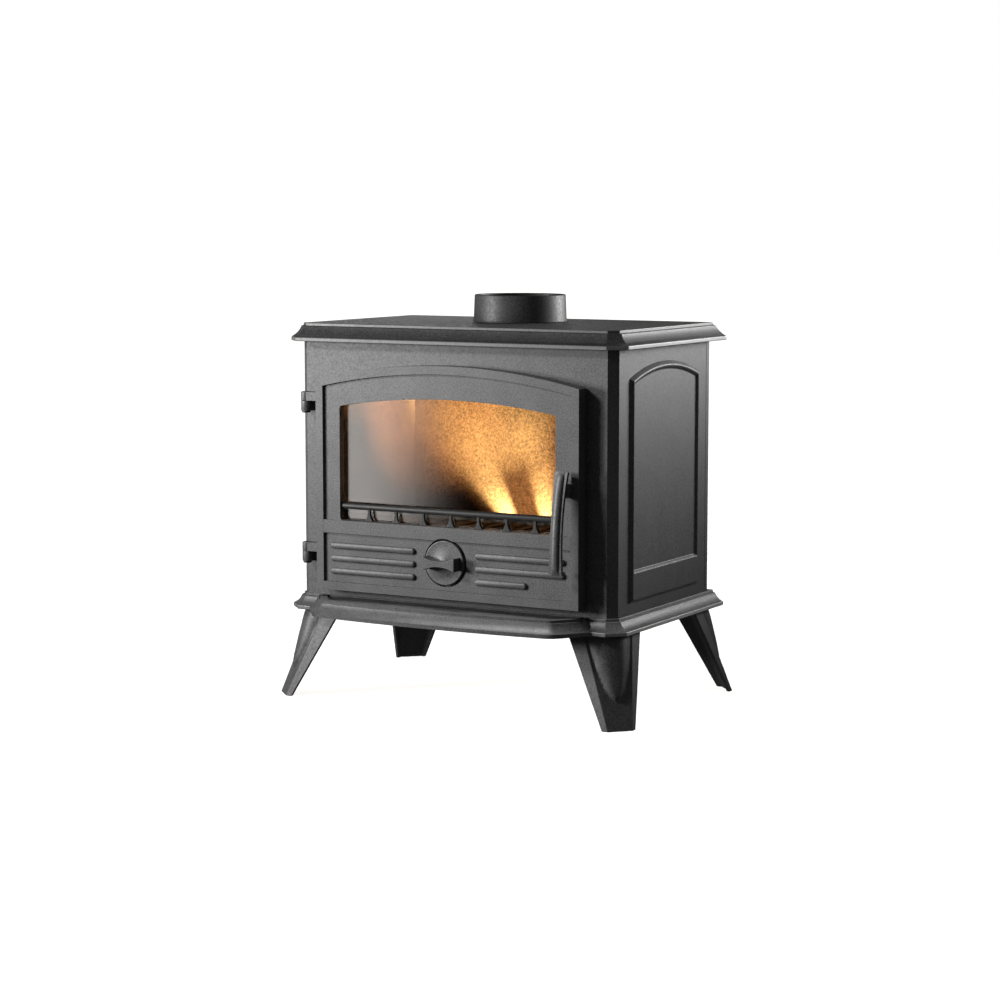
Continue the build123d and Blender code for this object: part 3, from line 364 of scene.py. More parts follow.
def soften(piece, width_mm):
    """Rounds the edges of a piece a little, as every cast or pressed edge is."""
    bevel = piece.modifiers.new("soft_edges", "BEVEL")
    bevel.width = width_mm * MM
    bevel.segments = 3
    bevel.limit_method = "ANGLE"
    bevel.angle_limit = math.radians(30)
    bevel.harden_normals = True
    bevel.use_clamp_overlap = True


def make(name, shells, material, body, replaced, edge_mm):
    """One piece from closed shells: joined, softened, given its finish, and made to ride on its body.

    It hides the nodes that it replaces.
    """
    verts, faces, start = [], [], 0
    for shell_verts, quads, caps in shells:
        verts.append(shell_verts)
        faces += (quads + start).tolist() + [(cap + start).tolist() for cap in caps]
        start += len(shell_verts)
    mesh = bpy.data.meshes.new(name)
    mesh.from_pydata(np.concatenate(verts).tolist(), [], faces)
    mesh.shade_smooth()
    mesh.materials.append(material)
    piece = bpy.data.objects.new(name, mesh)
    bpy.context.scene.collection.objects.link(piece)
    if edge_mm:
        soften(piece, edge_mm)
    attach(piece, body)
    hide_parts(*replaced)
    return piece


def dress(finish_name, edge_mm, *nodes):
    """Gives carried-over nodes their finish, and welds and softens their edges where a width is given."""
    for node in nodes:
        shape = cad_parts[node]
        shape.data.materials.clear()
        shape.data.materials.append(finish(finish_name))
        if edge_mm:
            weld = shape.modifiers.new("weld", "WELD")
            weld.merge_threshold = 0.01 * MM
            soften(shape, edge_mm)


def lit_by(lamp, *pieces):
    """Adds pieces to the ones that a screened lamp lights."""
    for piece in pieces:
        bpy.data.collections[f"{lamp}_lit"].objects.link(piece)


def arc(start, end, sagitta, steps=13):
    """Arc between two flat points that bulges to the left of start-to-end by its sagitta.

    Its radius is (half chord squared + sagitta squared) / (2 * sagitta).
    """
    start, end = np.asarray(start, float), np.asarray(end, float)
    middle, run = (start + end) / 2, end - start
    half_chord = np.linalg.norm(run) / 2
    along = run / (2 * half_chord)
    left = np.array([-along[1], along[0]])
    radius = (half_chord**2 + sagitta**2) / (2 * sagitta)
    turn = np.linspace(-1, 1, steps)[:, None] * 2 * math.atan(sagitta / half_chord)
    return middle + left * (sagitta - radius) + radius * (left * np.cos(turn) + along * np.sin(turn))


def cross(a, b):
    """Area of the parallelogram on two flat vectors, above zero where b lies to the left of a."""
    return a[..., 0] * b[..., 1] - a[..., 1] * b[..., 0]


def spread(outline, centre, turns):
    """Where rays from a centre at given angles meet an outline: the nearest crossing ahead of each ray.

    A ray meets an edge at reach = start x edge / (ray x edge), and where start x ray / (ray x edge)
    is between zero and one.
    """
    start = (np.asarray(outline, float) - centre)[None]
    edge = np.roll(start, -1, axis=1) - start
    ray = np.stack([np.cos(turns), np.sin(turns)], axis=1)
    nearly_none, slack = 1e-12, 1e-6
    across = cross(ray[:, None], edge)
    across = np.where(np.abs(across) < nearly_none, nearly_none, across)
    reach, share = cross(start, edge) / across, cross(start, ray[:, None]) / across
    hit = (reach > 0) & (share > -slack) & (share < 1 + slack)
    return centre + ray * np.where(hit, reach, np.inf).min(axis=1, keepdims=True)


def ray_turns(outline, centre, steps=96):
    """Evenly spaced angles about a centre, with those of the outline's own corners among them."""
    corner = np.asarray(outline, float) - centre
    own = np.arctan2(corner[:, 1], corner[:, 0]) % (2 * math.pi)
    even = np.linspace(0, 2 * math.pi, steps, endpoint=False)
    return np.unique(np.round(np.concatenate([even, own]), 9))


def circle(radius, centre, turns):
    """Points of a circle at given angles, or of an ellipse where two radii are given."""
    return centre + radius * np.stack([np.cos(turns), np.sin(turns)], axis=1)


# ---- what a user would change
class StoveSizes(bpy.types.PropertyGroup):
    """Sizes of the visible shapes, in metres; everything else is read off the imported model."""

    soft_edge: FloatProperty(
        name="Edge softness", description="Rounding of every cast edge",
        default=1.3 * MM, min=0.2 * MM, max=4 * MM, unit="LENGTH")
    chamfer: FloatProperty(
        name="Corner chamfer", description="Cut of the two front corners of the body",
        default=13.4 * MM, unit="LENGTH")
    ledge: FloatProperty(
        name="Ledge", description="Height of the flat edge above each cove", default=4.2 * MM, unit="LENGTH")
    ledge_step: FloatProperty(
        name="Ledge step", description="Step from the ledge out to the cove", default=3.5 * MM, unit="LENGTH")
    cove: FloatProperty(
        name="Cove", description="Hollow of the moulding's curve", default=2.3 * MM, unit="LENGTH")
    band: FloatProperty(
        name="Band", description="Height of the flat band below each cove", default=6.3 * MM, unit="LENGTH")
    band_out: FloatProperty(
        name="Band reach", description="How far the bands stand out of the body",
        default=20.7 * MM, unit="LENGTH")
    border: FloatProperty(
        name="Door border", description="Width of the door's raised border", default=13.5 * MM, unit="LENGTH")
    sink: FloatProperty(
        name="Door sink", description="Depth of the door's panel below its border",
        default=5.0 * MM, unit="LENGTH")
    rib_height: FloatProperty(
        name="Rib height", description="Height of one raised rib", default=10.7 * MM, unit="LENGTH")
    rib_pitch: FloatProperty(
        name="Rib pitch", description="From one rib to the next", default=21.1 * MM, unit="LENGTH")
    rib_raise: FloatProperty(
        name="Rib raise", description="How far the ribs stand out", default=4.8 * MM, unit="LENGTH")
    grain: FloatProperty(
        name="Casting grain", description="Drawn size of the sand grain", default=2.6 * MM, unit="LENGTH")


class StoveColours(bpy.types.PropertyGroup):
    """Colours of the finishes, linear, with their sRGB values as the defaults."""

    paint_dark: FloatVectorProperty(
        name="Paint, hollows", description="Heat-proof paint in the grain's hollows",
        subtype="COLOR", size=4, default=rgb("#242424"))
    paint_light: FloatVectorProperty(
        name="Paint, crests", description="Heat-proof paint on the grain's crests",
        subtype="COLOR", size=4, default=rgb("#515151"))
    iron_dark: FloatVectorProperty(
        name="Bare iron, dark", description="Sooted iron inside the firebox",
        subtype="COLOR", size=4, default=rgb("#2a2522"))
    iron_light: FloatVectorProperty(
        name="Bare iron, light", description="Ash-dusted iron inside the firebox",
        subtype="COLOR", size=4, default=rgb("#5c534c"))
    glass: FloatVectorProperty(
        name="Glass", description="Tint of the glass-ceramic pane",
        subtype="COLOR", size=4, default=rgb("#fdf6ec"))
    floor: FloatVectorProperty(
        name="Floor", description="Studio floor", subtype="COLOR", size=4, default=rgb("#f1efec"))
    fire: FloatVectorProperty(
        name="Fire light", description="Colour of the glow in the firebox",
        subtype="COLOR", size=4, default=rgb("#ffb873"))
    flame: FloatVectorProperty(
        name="Flame light", description="Colour of the light next to the flames",
        subtype="COLOR", size=4, default=rgb("#ffd58a"))


# ---- finishes
def finish(name):
    """One of the finishes, made the first time it is asked for."""
    if name in bpy.data.materials:
        return bpy.data.materials[name]
    sizes, tones = bpy.context.scene.stove_sizes, bpy.context.scene.stove_colours
    grain = sizes.grain / MM
    paint = (tones.paint_dark, tones.paint_light)
    soot = (tones.iron_dark, tones.iron_light)
    makers = {
        # flat heat-proof paint that keeps the sand's grain
        "painted_sand_cast_iron": (cast_iron, *paint, 0.5, grain, 4.5, 38.0, 0.22, 0.4),
        # painted highlight: the mouldings' narrow upright faces are drawn greyer, with a little more shine,
        # in place of the light they catch
        "fettled_cast_iron": (cast_iron, rgb("#464646"), rgb("#5c5c5b"), 0.42, grain, 4.5, 38.0, 0.6, 0.6),
        # painted highlight: the cornice's bands are drawn paler grey still, in place of the light they catch
        "ground_cast_iron": (cast_iron, rgb("#5c5c5c"), rgb("#787877"), 0.45, grain, 4.5, 38.0, 0.4, 0.5),
        # painted shade: the thin guard rail before the pane is drawn in a darker iron, in place of the shade
        # it stands in
        "blued_cast_iron": (cast_iron, rgb("#1b1b1b"), rgb("#343433"), 0.5, grain, 4.5, 38.0, 0.3, 0.35),
        # the deck as it left the mould, its grain coarser still because it lies nearly edge-on
        "rough_sand_cast_iron": (cast_iron, rgb("#161616"), rgb("#686867"), 0.5, 6.0, 6.0, 45.0, 8.0, 0.45),
        # parts that a hand touches, a little smoother
        "satin_cast_iron": (cast_iron, *paint, 0.48, grain, 4.0, 25.0, 0.6, 0.4),
        # dull brown-black soot with pale ash on the crests
        "sooted_cast_iron": (cast_iron, *soot, 0.85, 3.5, 8.0, 60.0, 1.4, 0.2),
        # screws and pins: dark oiled metal; spindles: bright; ash pan: dark rolled sheet
        "blackened_steel": (steel, rgb("#2e2d2c"), rgb("#4a4846"), 0.45, 3.0),
        "turned_steel": (steel, rgb("#6d6a66"), rgb("#8d8983"), 0.35, 2.0),
        "pressed_steel_sheet": (steel, rgb("#1f1f1f"), rgb("#343332"), 0.5, 12.0),
        "glass_ceramic": (ceramic_glass, tones.glass, 30.0),
        "glass_fibre_rope": (rope_yarn, rgb("#2a2a2a"), rgb("#6a6864"), 2.5),
        "painted_floor": (plaster, tones.floor, 700.0),
    }
    maker, *values = makers[name]
    return maker(name, *values)


def iron_piece(name, shells, body, replaced, edge_mm=None, coat="painted_sand_cast_iron",
               highlight_bands=(), highlight_coat="fettled_cast_iron"):
    """A painted casting, softened by the stove's own edge width where none is given.

    Its upright faces between each pair of given heights get a second, lighter coat: a painted highlight in
    place of the light that a moulding's narrow bands catch.
    """
    if edge_mm is None:
        edge_mm = bpy.context.scene.stove_sizes.soft_edge / MM
    piece = make(name, shells, finish(coat), body, replaced, edge_mm)
    # painted highlight: the chosen upright faces take the lighter coat
    if highlight_bands:
        piece.data.materials.append(finish(highlight_coat))
        count = len(piece.data.polygons)
        centres, normals = np.empty(count * 3), np.empty(count * 3)
        piece.data.polygons.foreach_get("center", centres)
        piece.data.polygons.foreach_get("normal", normals)
        nearly_level = 0.3
        height, upright = centres[2::3], np.abs(normals[2::3]) < nearly_level
        chosen = sum((height > low) & (height < high) for low, high in highlight_bands) * upright
        piece.data.polygons.foreach_set("material_index", chosen.astype(np.int32))
    return piece


# ---- top and base
def body_plan(out, rear):
    """Plan of the body grown outwards: left rear, both chamfered front corners, right rear."""
    side, front = HALF + out, FRONT - out
    cut = bpy.context.scene.stove_sizes.chamfer + out * (2 - ROOT2)
    return np.array([[-side, rear], [-side, front + cut], [-side + cut, front],
                     [side - cut, front], [side, front + cut], [side, rear]])


def moulding_profile(top, low, ledge_out, inner_out):
    """Section of the cove moulding as (out, height): step, cove, band, and a hollow back."""
    sizes = bpy.context.scene.stove_sizes
    ledge_low = top - sizes.ledge
    step = (ledge_out + sizes.ledge_step, ledge_low - 0.6 * MM)
    band_top = (sizes.band_out, low + sizes.band)
    wall = 6 * MM
    inside = ledge_out - wall
    return np.concatenate([
        [(inside, ledge_low - 4 * MM), (inside, ledge_low), (ledge_out + 0.5 * MM, ledge_low)],
        arc(step, band_top, -sizes.cove),
        [(sizes.band_out, low), (sizes.band_out - wall, low), (inner_out, top - 11 * MM)],
    ])


def slope(low, high, low_y, high_y):
    """A rear end that is upright below one height and leans in a straight line to the other."""
    return lambda z: np.interp(z, (low, high), (low_y, high_y))


class STOVE_OT_top(bpy.types.Operator):
    """Top plate with its cornice, and the flue collar on it"""

    bl_idname = "stove.top"
    bl_label = "Top plate and flue collar"

    def execute(self, context):
        sizes = context.scene.stove_sizes
        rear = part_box("top_plate")[1][1]
        lean = slope(CORNICE_LOW + sizes.band, TOP, rear, rear - 13.8 * MM)
        cornice = carried(body_plan(0, rear), moulding_profile(TOP, CORNICE_LOW, 1.0 * MM, 0.3 * MM), in_plan,
                          closed=False, start_cut=lean, end_cut=lean)
        # the deck is a ring of rays from the flue hole out to the ledge
        hole = np.array([0.0, FLUE_Y])
        edge = body_plan(1.0 * MM, lean(TOP))
        turns = ray_turns(edge, hole)
        rim, top_edge = circle(75.1 * MM, hole, turns), spread(edge, hole, turns)
        deck_low = TOP - 8 * MM
        low_edge = top_edge.copy()
        low_edge[top_edge[:, 1] > lean(TOP) - 1e-6, 1] = lean(deck_low)
        loops = ((rim, deck_low), (rim, TOP), (top_edge, TOP), (low_edge, deck_low))
        deck = lofted([level(ring, z) for ring, z in loops], wrap=True)
        # painted highlight: the cornice's ledge and band, and the deck's upright edge, get lighter coats
        highlight_bands = ((CORNICE_LOW, CORNICE_LOW + sizes.band), (TOP - sizes.ledge, TOP))
        top = iron_piece("top_cornice", [cornice], "stove", ["top_plate"], highlight_bands=highlight_bands,
                         highlight_coat="ground_cast_iron")
        top_deck = iron_piece("top_deck", [deck], "stove", ["top_plate"], 0.8, "rough_sand_cast_iron",
                              highlight_bands=((deck_low, TOP),))
        lit_by("base_side", top)
        lit_by("deck_skim", top_deck)
        low_z, high_z = (corner[2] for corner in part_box("flue_collar"))
        bore, spigot, foot, rim_out = 71.5 * MM, 74.8 * MM, 78.2 * MM, 76.5 * MM
        seat = TOP + 0.2 * MM
        section = rounded([(bore, low_z), (spigot, low_z), (spigot, seat), (foot + 1.2 * MM, seat),
                           (foot, TOP + 3 * MM), (rim_out, high_z), (bore, high_z)],
                          [0, 0, 0, 0, 3 * MM, 1.6 * MM, 1.6 * MM])
        collar = turned(section, (0, FLUE_Y, 0), (0, 0, 1), 128)
        iron_piece("flue_collar_casting", [collar], "stove", ["flue_collar"], 0)
        return {"FINISHED"}


class STOVE_OT_base(bpy.types.Operator):
    """Base plate with its moulding, and the ash lip at the front"""

    bl_idname = "stove.base"
    bl_label = "Base plate and ash lip"

    def execute(self, context):
        sizes = context.scene.stove_sizes
        ledge_out = 3.5 * MM
        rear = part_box("base_plate")[1][1]
        lean = slope(BASE_LOW + sizes.band, BASE_TOP, rear, rear - 4.9 * MM)
        lip_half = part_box("ash_lip")[1][0]
        # the moulding runs on behind the lip's flared ends, so that the two meet in a mitre
        stop = lip_half - 19 * MM
        profile = moulding_profile(BASE_TOP, BASE_LOW, ledge_out, ledge_out + 2.5 * MM)
        plan = body_plan(0, rear)
        left = carried([*plan[:3], (-stop, FRONT)], profile, in_plan, closed=False, start_cut=lean)
        right = carried([(stop, FRONT), *plan[3:]], profile, in_plan, closed=False, end_cut=lean)
        under = BASE_TOP - 12 * MM
        slab = lofted([level(body_plan(ledge_out, lean(z)), z) for z in (under, BASE_TOP)])
        # painted highlight: the base moulding's ledge and band get the lighter coat
        highlight_bands = ((BASE_LOW, BASE_LOW + sizes.band), (BASE_TOP - sizes.ledge, BASE_TOP))
        base = iron_piece("base_casting", [slab, left, right], "stove", ["base_plate"], highlight_bands=highlight_bands)
        lit_by("base_side", base)
        lit_by("front_top", base)
        # the lip: a bowed front between two slanting ends, with a shallow tray inside its rim
        front, back = (corner[1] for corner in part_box("ash_lip"))
        back -= 25 * MM + ledge_out + 0.6 * MM
        bow_half, bow_depth = 222 * MM, 13 * MM
        bow = arc((-bow_half, front + bow_depth), (bow_half, front + bow_depth), -bow_depth, 41)
        turn_y = FRONT - sizes.band_out
        left_end, right_end = ([(x, back), (x, turn_y)] for x in (-lip_half, lip_half))
        path = np.concatenate([left_end, bow, right_end[::-1]])
        radii = [0, 8 * MM, 26 * MM, *[0] * (len(bow) - 2), 26 * MM, 8 * MM, 0]
        path = rounded(path, radii, 9, closed=False)
        flare = sizes.band_out - ledge_out
        ledge_low, band_top = BASE_TOP - sizes.ledge, BASE_LOW + sizes.band
        inside, wall = -flare - 13 * MM, -12 * MM
        section = np.concatenate([
            [(0, BASE_LOW), (0, band_top)],
            arc((0, band_top), (sizes.ledge_step - flare, ledge_low - 0.6 * MM), sizes.cove)[1:],
            [(-flare, ledge_low), (-flare, BASE_TOP), (inside + 2 * MM, BASE_TOP),
             (inside, BASE_TOP - 4.2 * MM), (inside, BASE_TOP - 9 * MM), (wall, BASE_TOP - 13 * MM),
             (wall, BASE_LOW)],
        ])
        rim = carried(path, section, in_plan, closed=False)
        # the tray slopes down from the stove to the inside of the rim
        inner = path + mitres(path, False) * -(flare + 9 * MM)
        across = np.linspace(-1, 1, 61) * (lip_half - 23.5 * MM)
        near = np.interp(across, inner[:, 0], inner[:, 1])
        rows = np.stack([near, near, near * 0 + back, near * 0 + back], axis=1)
        levels = BASE_TOP + np.array([-14, -8, -1, -8]) * MM
        tray = lofted(in_plan(*np.broadcast_arrays(across[:, None], rows, levels)))
        tab_half, tab_low, tab_top = 20 * MM, BASE_TOP - 18 * MM, BASE_TOP - 12.2 * MM
        tabs = [block((x - tab_half, back - 20 * MM, tab_low), (x + tab_half, FRONT + 25 * MM, tab_top))
                for x in (-120 * MM, 120 * MM)]
        lit_by("lip_top", iron_piece("ash_lip_casting", [rim, tray, *tabs], "stove", ["ash_lip"]))
        return {"FINISHED"}


class STOVE_OT_legs(bpy.types.Operator):
    """Four splayed channel legs, each with a raised shield on its outer face"""

    bl_idname = "stove.legs"
    bl_label = "Legs"

    def execute(self, context):
        top, wall, body_depth = BASE_TOP - 12 * MM, 6 * MM, 360 * MM
        z = np.linspace(0, top, 41)[:, None]
        share = z / top
        out, face_half, wing = ((foot + share * (head - foot)) * MM
                                for foot, head in ((34.0, -36.5), (20.5, 42.6), (11.0, 31.0)))
        # the shield: a cubic hump across, wide and proud at the top, running out to a tip below
        heights = np.array([0, 42, 52, 63, 93, 130, 160]) * MM
        shield_half = np.interp(z, heights, np.array([1, 1, 10, 17, 27, 34, 38]) * MM)
        bulge = np.interp(z, heights, np.array([0, 0, 6.0, 8.5, 14.0, 20.0, 23.0]) * MM)
        across = np.linspace(1, -1, 33)[None, :] * face_half
        proud = np.clip(bulge * (1 - np.abs(across / shield_half) ** 3), 0, None)
        face = np.stack([(out + proud - across) / ROOT2, (out + proud + across) / ROOT2], axis=-1)
        first, last = face[:, 0], face[:, -1]
        thinned = (ROOT2 - 1) * wall
        none, thick = 0 * wing, wall + 0 * wing
        section = np.stack([
            first - np.hstack([wing, none]), *np.moveaxis(face, 1, 0), last - np.hstack([none, wing]),
            last - np.hstack([thick, wing]), last - [wall, thinned],
            first - [thinned, wall], first - np.hstack([wing, thick]),
        ], axis=1)
        last_face = face.shape[1]
        height = np.broadcast_to(z, section.shape[:2])
        flange_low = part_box("leg_front_left")[1][2] - 8 * MM
        for side, side_name in ((-1, "left"), (1, "right")):
            for end, end_name in ((-1, "front"), (1, "rear")):
                node = f"leg_{end_name}_{side_name}"
                corner_y = FRONT if end < 0 else FRONT + body_depth
                skin = lofted(in_plan(side * (HALF + section[..., 0]), corner_y + end * section[..., 1],
                                      height))
                at_top = section[-1]
                inside = [at_top[0, 0], at_top[last_face + 1, 1]]
                pad = np.array([at_top[0], at_top[1], at_top[last_face], at_top[last_face + 1], inside])
                placed = np.stack([side * (HALF + pad[:, 0]), corner_y + end * pad[:, 1]], axis=1)
                flange = lofted([level(placed, flange_low), level(placed, top - 0.05 * MM)])
                lit_by("front_top", iron_piece(f"{node}_casting", [skin, flange], "stove", [node]))
        return {"FINISHED"}


class STOVE_OT_sides(bpy.types.Operator):
    """Side plates, each with a raised arched moulding round a sunk field"""

    bl_idname = "stove.sides"
    bl_label = "Side plates"

    def execute(self, context):
        low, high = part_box("right_side")
        half, foot, field_foot, corner, apex = np.array([126.5, 189.0, 229.0, 546.5, 569.0]) * MM
        wall_thick, margin = 8 * MM, 49 * MM
        centre = FRONT + margin + half
        # each step of the moulding: its foot's height, then how far in and how far out it is
        steps = [(foot, 0.0, -2.0), (foot, 0.0, 0.0), (foot, 5.2, 5.2), (foot, 6.2, 6.0),
                 (field_foot, 8.6, 6.0), (field_foot, 9.6, 5.4), (field_foot, 13.0, 2.0)]
        for side, name in ((-1, "left_side"), (1, "right_side")):
            wall_in, wall_out = sorted((side * (HALF - wall_thick), side * HALF))
            wall = block((wall_in, low[1], low[2]), (wall_out, high[1], high[2]))
            loops = []
            for bottom, inset, stand in steps:
                ring = arched(half, bottom, corner, apex, inset * MM)
                stand_x = np.full(len(ring), side * (HALF + stand * MM))
                loops.append(np.stack([stand_x, centre + ring[:, 0], ring[:, 1]], axis=1))
            iron_piece(f"{name}_casting", [wall, lofted(loops)], "stove", [name], edge_mm=1.0)
        return {"FINISHED"}


# ---- door
def soft_arch(half, low, corner, apex, inset=0.0, radius=5.0 * MM):
    """The arched outline with its four corners rounded."""
    ring = arched(half, low, corner, apex, inset)
    radii = np.zeros(len(ring))
    radii[[0, 1, 2, -1]] = radius
    return rounded(ring, radii)


def stadium(x_from, x_to, z, half, inset):
    """A bar with half-round ends: two half circles about the ends' centres."""
    turns = np.linspace(-math.pi / 2, math.pi / 2, 13)
    right = circle(half - inset, (x_to - half, z), turns)
    left = circle(inset - half, (x_from + half, z), turns)
    return np.concatenate([right, left])


class STOVE_OT_door(bpy.types.Operator):
    """Door casting with border, ribs, window and dial pocket; its pane and rope seal"""

    bl_idname = "stove.door"
    bl_label = "Door"

    def execute(self, context):
        sizes = context.scene.stove_sizes
        (_, _, low), (half, back_y, apex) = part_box("door_frame")
        corner = apex - 27.9 * MM
        back = FRONT - back_y
        face, panel = 28 * MM, 28 * MM - sizes.sink
        skin = panel - 6 * MM
        pane_low, pane_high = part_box("door_glass")
        lap = 7 * MM
        window = (pane_high[0] - lap, pane_low[2] + lap, pane_high[2] - lap - 17.2 * MM, pane_high[2] - lap)
        bed = FRONT - pane_low[1] + 2 * MM
        border = carried(arched(half, low, corner, apex),
                         [(0, back), (0, face), (-sizes.border, face),
                          (-sizes.border - 0.8 * MM, panel - 2 * MM), (-12 * MM, skin), (-12 * MM, back),
                          (-10 * MM, back), (-10 * MM, back + 5 * MM), (-2 * MM, back + 5 * MM),
                          (-2 * MM, back)], on_front)
        bar_low, bar_top = window[1] - 21.6 * MM, window[1] - 0.1 * MM
        split = (bar_low + bar_top) / 2
        outer = soft_arch(half, split - 10 * MM, corner, apex, 10 * MM, 1 * MM)
        opening, opening_back = soft_arch(*window), soft_arch(*window, -6 * MM, 10 * MM)
        surround = fronted([(outer, skin), (outer, panel), (opening, panel), (opening, bed),
                            (opening_back, bed), (opening_back, skin)], wrap=True)
        dial = np.array([0.0, DIAL_Z])
        pocket, spindle_hole, pocket_out = 39.4 * MM, 4.05 * MM, 45.4 * MM
        floor = panel - 9 * MM
        side, foot = half - 10 * MM, low + 10 * MM
        rect = np.array([[-side, foot], [side, foot], [side, split], [-side, split]])
        turns = ray_turns(rect, dial)
        edge = spread(rect, dial, turns)
        under = floor - 6 * MM
        rings = [(circle(radius, dial, turns), stand) for radius, stand in (
            (pocket, panel), (pocket, floor), (spindle_hole, floor), (spindle_hole, under),
            (pocket_out, under), (pocket_out, skin))]
        lower = fronted([(edge, skin), (edge, panel), *rings], wrap=True)
        bite = math.sqrt(pocket**2 - (bar_low - dial[1]) ** 2)
        inner_half = half - sizes.border + 1 * MM
        bar_ring = np.concatenate([[(-inner_half, bar_top), (-inner_half, bar_low)],
                                   arc((-bite, bar_low), (bite, bar_low), dial[1] + pocket - bar_low),
                                   [(inner_half, bar_low), (inner_half, bar_top)]])
        bar = fronted([(bar_ring, panel - 0.5 * MM), (bar_ring, face)])
        shells = [border, surround, lower, bar]
        # ribs: half-round bars, three rows on each side of the dial, the last one short on the right
        dome = [(0.0, -0.25), (0.0, 0.4), (0.5, 0.675), (1.5, 0.875), (2.9, 1.0)]
        rib_half = sizes.rib_height / 2
        for row in range(3):
            z = 259 * MM - row * sizes.rib_pitch
            for x_from, x_to in ((-219, -56), (56, 219 if row < 2 else 151)):
                shells.append(fronted([(stadium(x_from * MM, x_to * MM, z, rib_half, inset * MM),
                                        panel + share * sizes.rib_raise) for inset, share in dome]))
        # guard rail in front of the pane, on seven posts with flared feet
        rail_back, rail_end, rail_z, rail_half = 14 * MM, window[0] + 4 * MM, 325.2 * MM, 5.4 * MM
        dome = [(0, 0), (0, 2.5), (0.7, 4.2), (2.2, 5.6), (4.0, 6.2)]
        guard = [fronted([(stadium(-rail_end, rail_end, rail_z, rail_half, inset * MM),
                           rail_back + stand * MM) for inset, stand in dome])]
        right = [(9.5, 0), (6, 3.5), (3.4, 8.5), (2.6, 14), (2.9, 20.5)]
        post = np.array([(-9.5, 0), *right, *[(-x, z) for x, z in right[:0:-1]]]) * MM
        for x in np.arange(7) * 51.7 * MM - 148.3 * MM:
            placed = post + (x, window[1] - 0.5 * MM)
            guard.append(fronted([(placed, rail_back), (placed, rail_back + 4.5 * MM)]))
        # painted shade: the rail and its posts take the darker iron
        iron_piece("window_guard_casting", guard, "door", ["door_frame"], coat="blued_cast_iron")
        # handle boss and hinge eyes
        shells.append(tube(BORE, HUB, skin, 34 * MM, [0, 0, 1.5 * MM, 0], HANDLE_AT, (0, -1, 0)))
        eye_bore, eye_out = 4.05 * MM, 8.5 * MM
        for split_z in (496.3 * MM, 245.8 * MM):
            eye_low, eye_high = split_z + 0.3 * MM, split_z + 15.3 * MM
            radii = [0, 0.8 * MM, 2 * MM, 0.5 * MM]
            shells.append(tube(eye_bore, eye_out, eye_low, eye_high, radii, (PIN_X, PIN_Y, 0), (0, 0, 1)))
            shells.append(block((PIN_X + 5 * MM, PIN_Y - 8.4 * MM, eye_low + 0.1 * MM),
                                (-half + 1 * MM, PIN_Y + 8.4 * MM, eye_high - 0.5 * MM)))
        lit_by("front_top", iron_piece("door_casting", shells, "door", ["door_frame"], 1.1))
        # rope seal in the groove round the back
        turns = np.linspace(0, 2 * math.pi, 16, endpoint=False)
        rope = circle(np.array([3.8, 3.6]) * MM, (-6 * MM, back + 1.4 * MM), turns)
        seal = carried(arched(half, low, corner, apex), rope, on_front)
        make("door_rope_seal", [seal], finish("glass_fibre_rope"), "door", ["door_seal"], 0)
        dress("glass_ceramic", 0, "door_glass")
        dress("glass_fibre_rope", 0, "glass_seal")
        dress("blackened_steel", 0.3, "glass_clips", "glass_clip_screws")
        return {"FINISHED"}


class STOVE_OT_dial(bpy.types.Operator):
    """Air dial: a domed disc with a bow-tie grip, its spindle and shutter"""

    bl_idname = "stove.dial"
    bl_label = "Air dial"

    def execute(self, context):
        back, rim, crown, radius, pole = np.array([18.0, 26.5, 32.0, 36.6, 0.4]) * MM
        dome = arc((radius - 1.5 * MM, rim + 0.6 * MM), (pole, crown), 1.8 * MM, 17)
        section = np.concatenate([[(pole, back), (radius - 1 * MM, back), (radius, back + 1 * MM),
                                   (radius, rim - 1.2 * MM), (radius - 0.4 * MM, rim)], dome])
        disc = turned(section, (0.0, FRONT, DIAL_Z), (0, -1, 0), 96)
        end_half, waist_half, grip_half = 11 * MM, 4.5 * MM, 29 * MM
        low, high = DIAL_Z - end_half, DIAL_Z + end_half
        ring = np.concatenate([
            arc((-grip_half, low), (grip_half, low), end_half - waist_half, 33),
            arc((grip_half, high), (-grip_half, high), end_half - waist_half, 33),
        ])
        grip = fronted([(ring, rim), (ring, 46 * MM)])
        lit_by("front_top", iron_piece("air_dial_casting", [disc, grip], "air_control", ["air_dial"], 1.4,
                                       "satin_cast_iron"))
        dress("blackened_steel", 0.3, "air_spindle", "air_shutter", "air_nut")
        return {"FINISHED"}


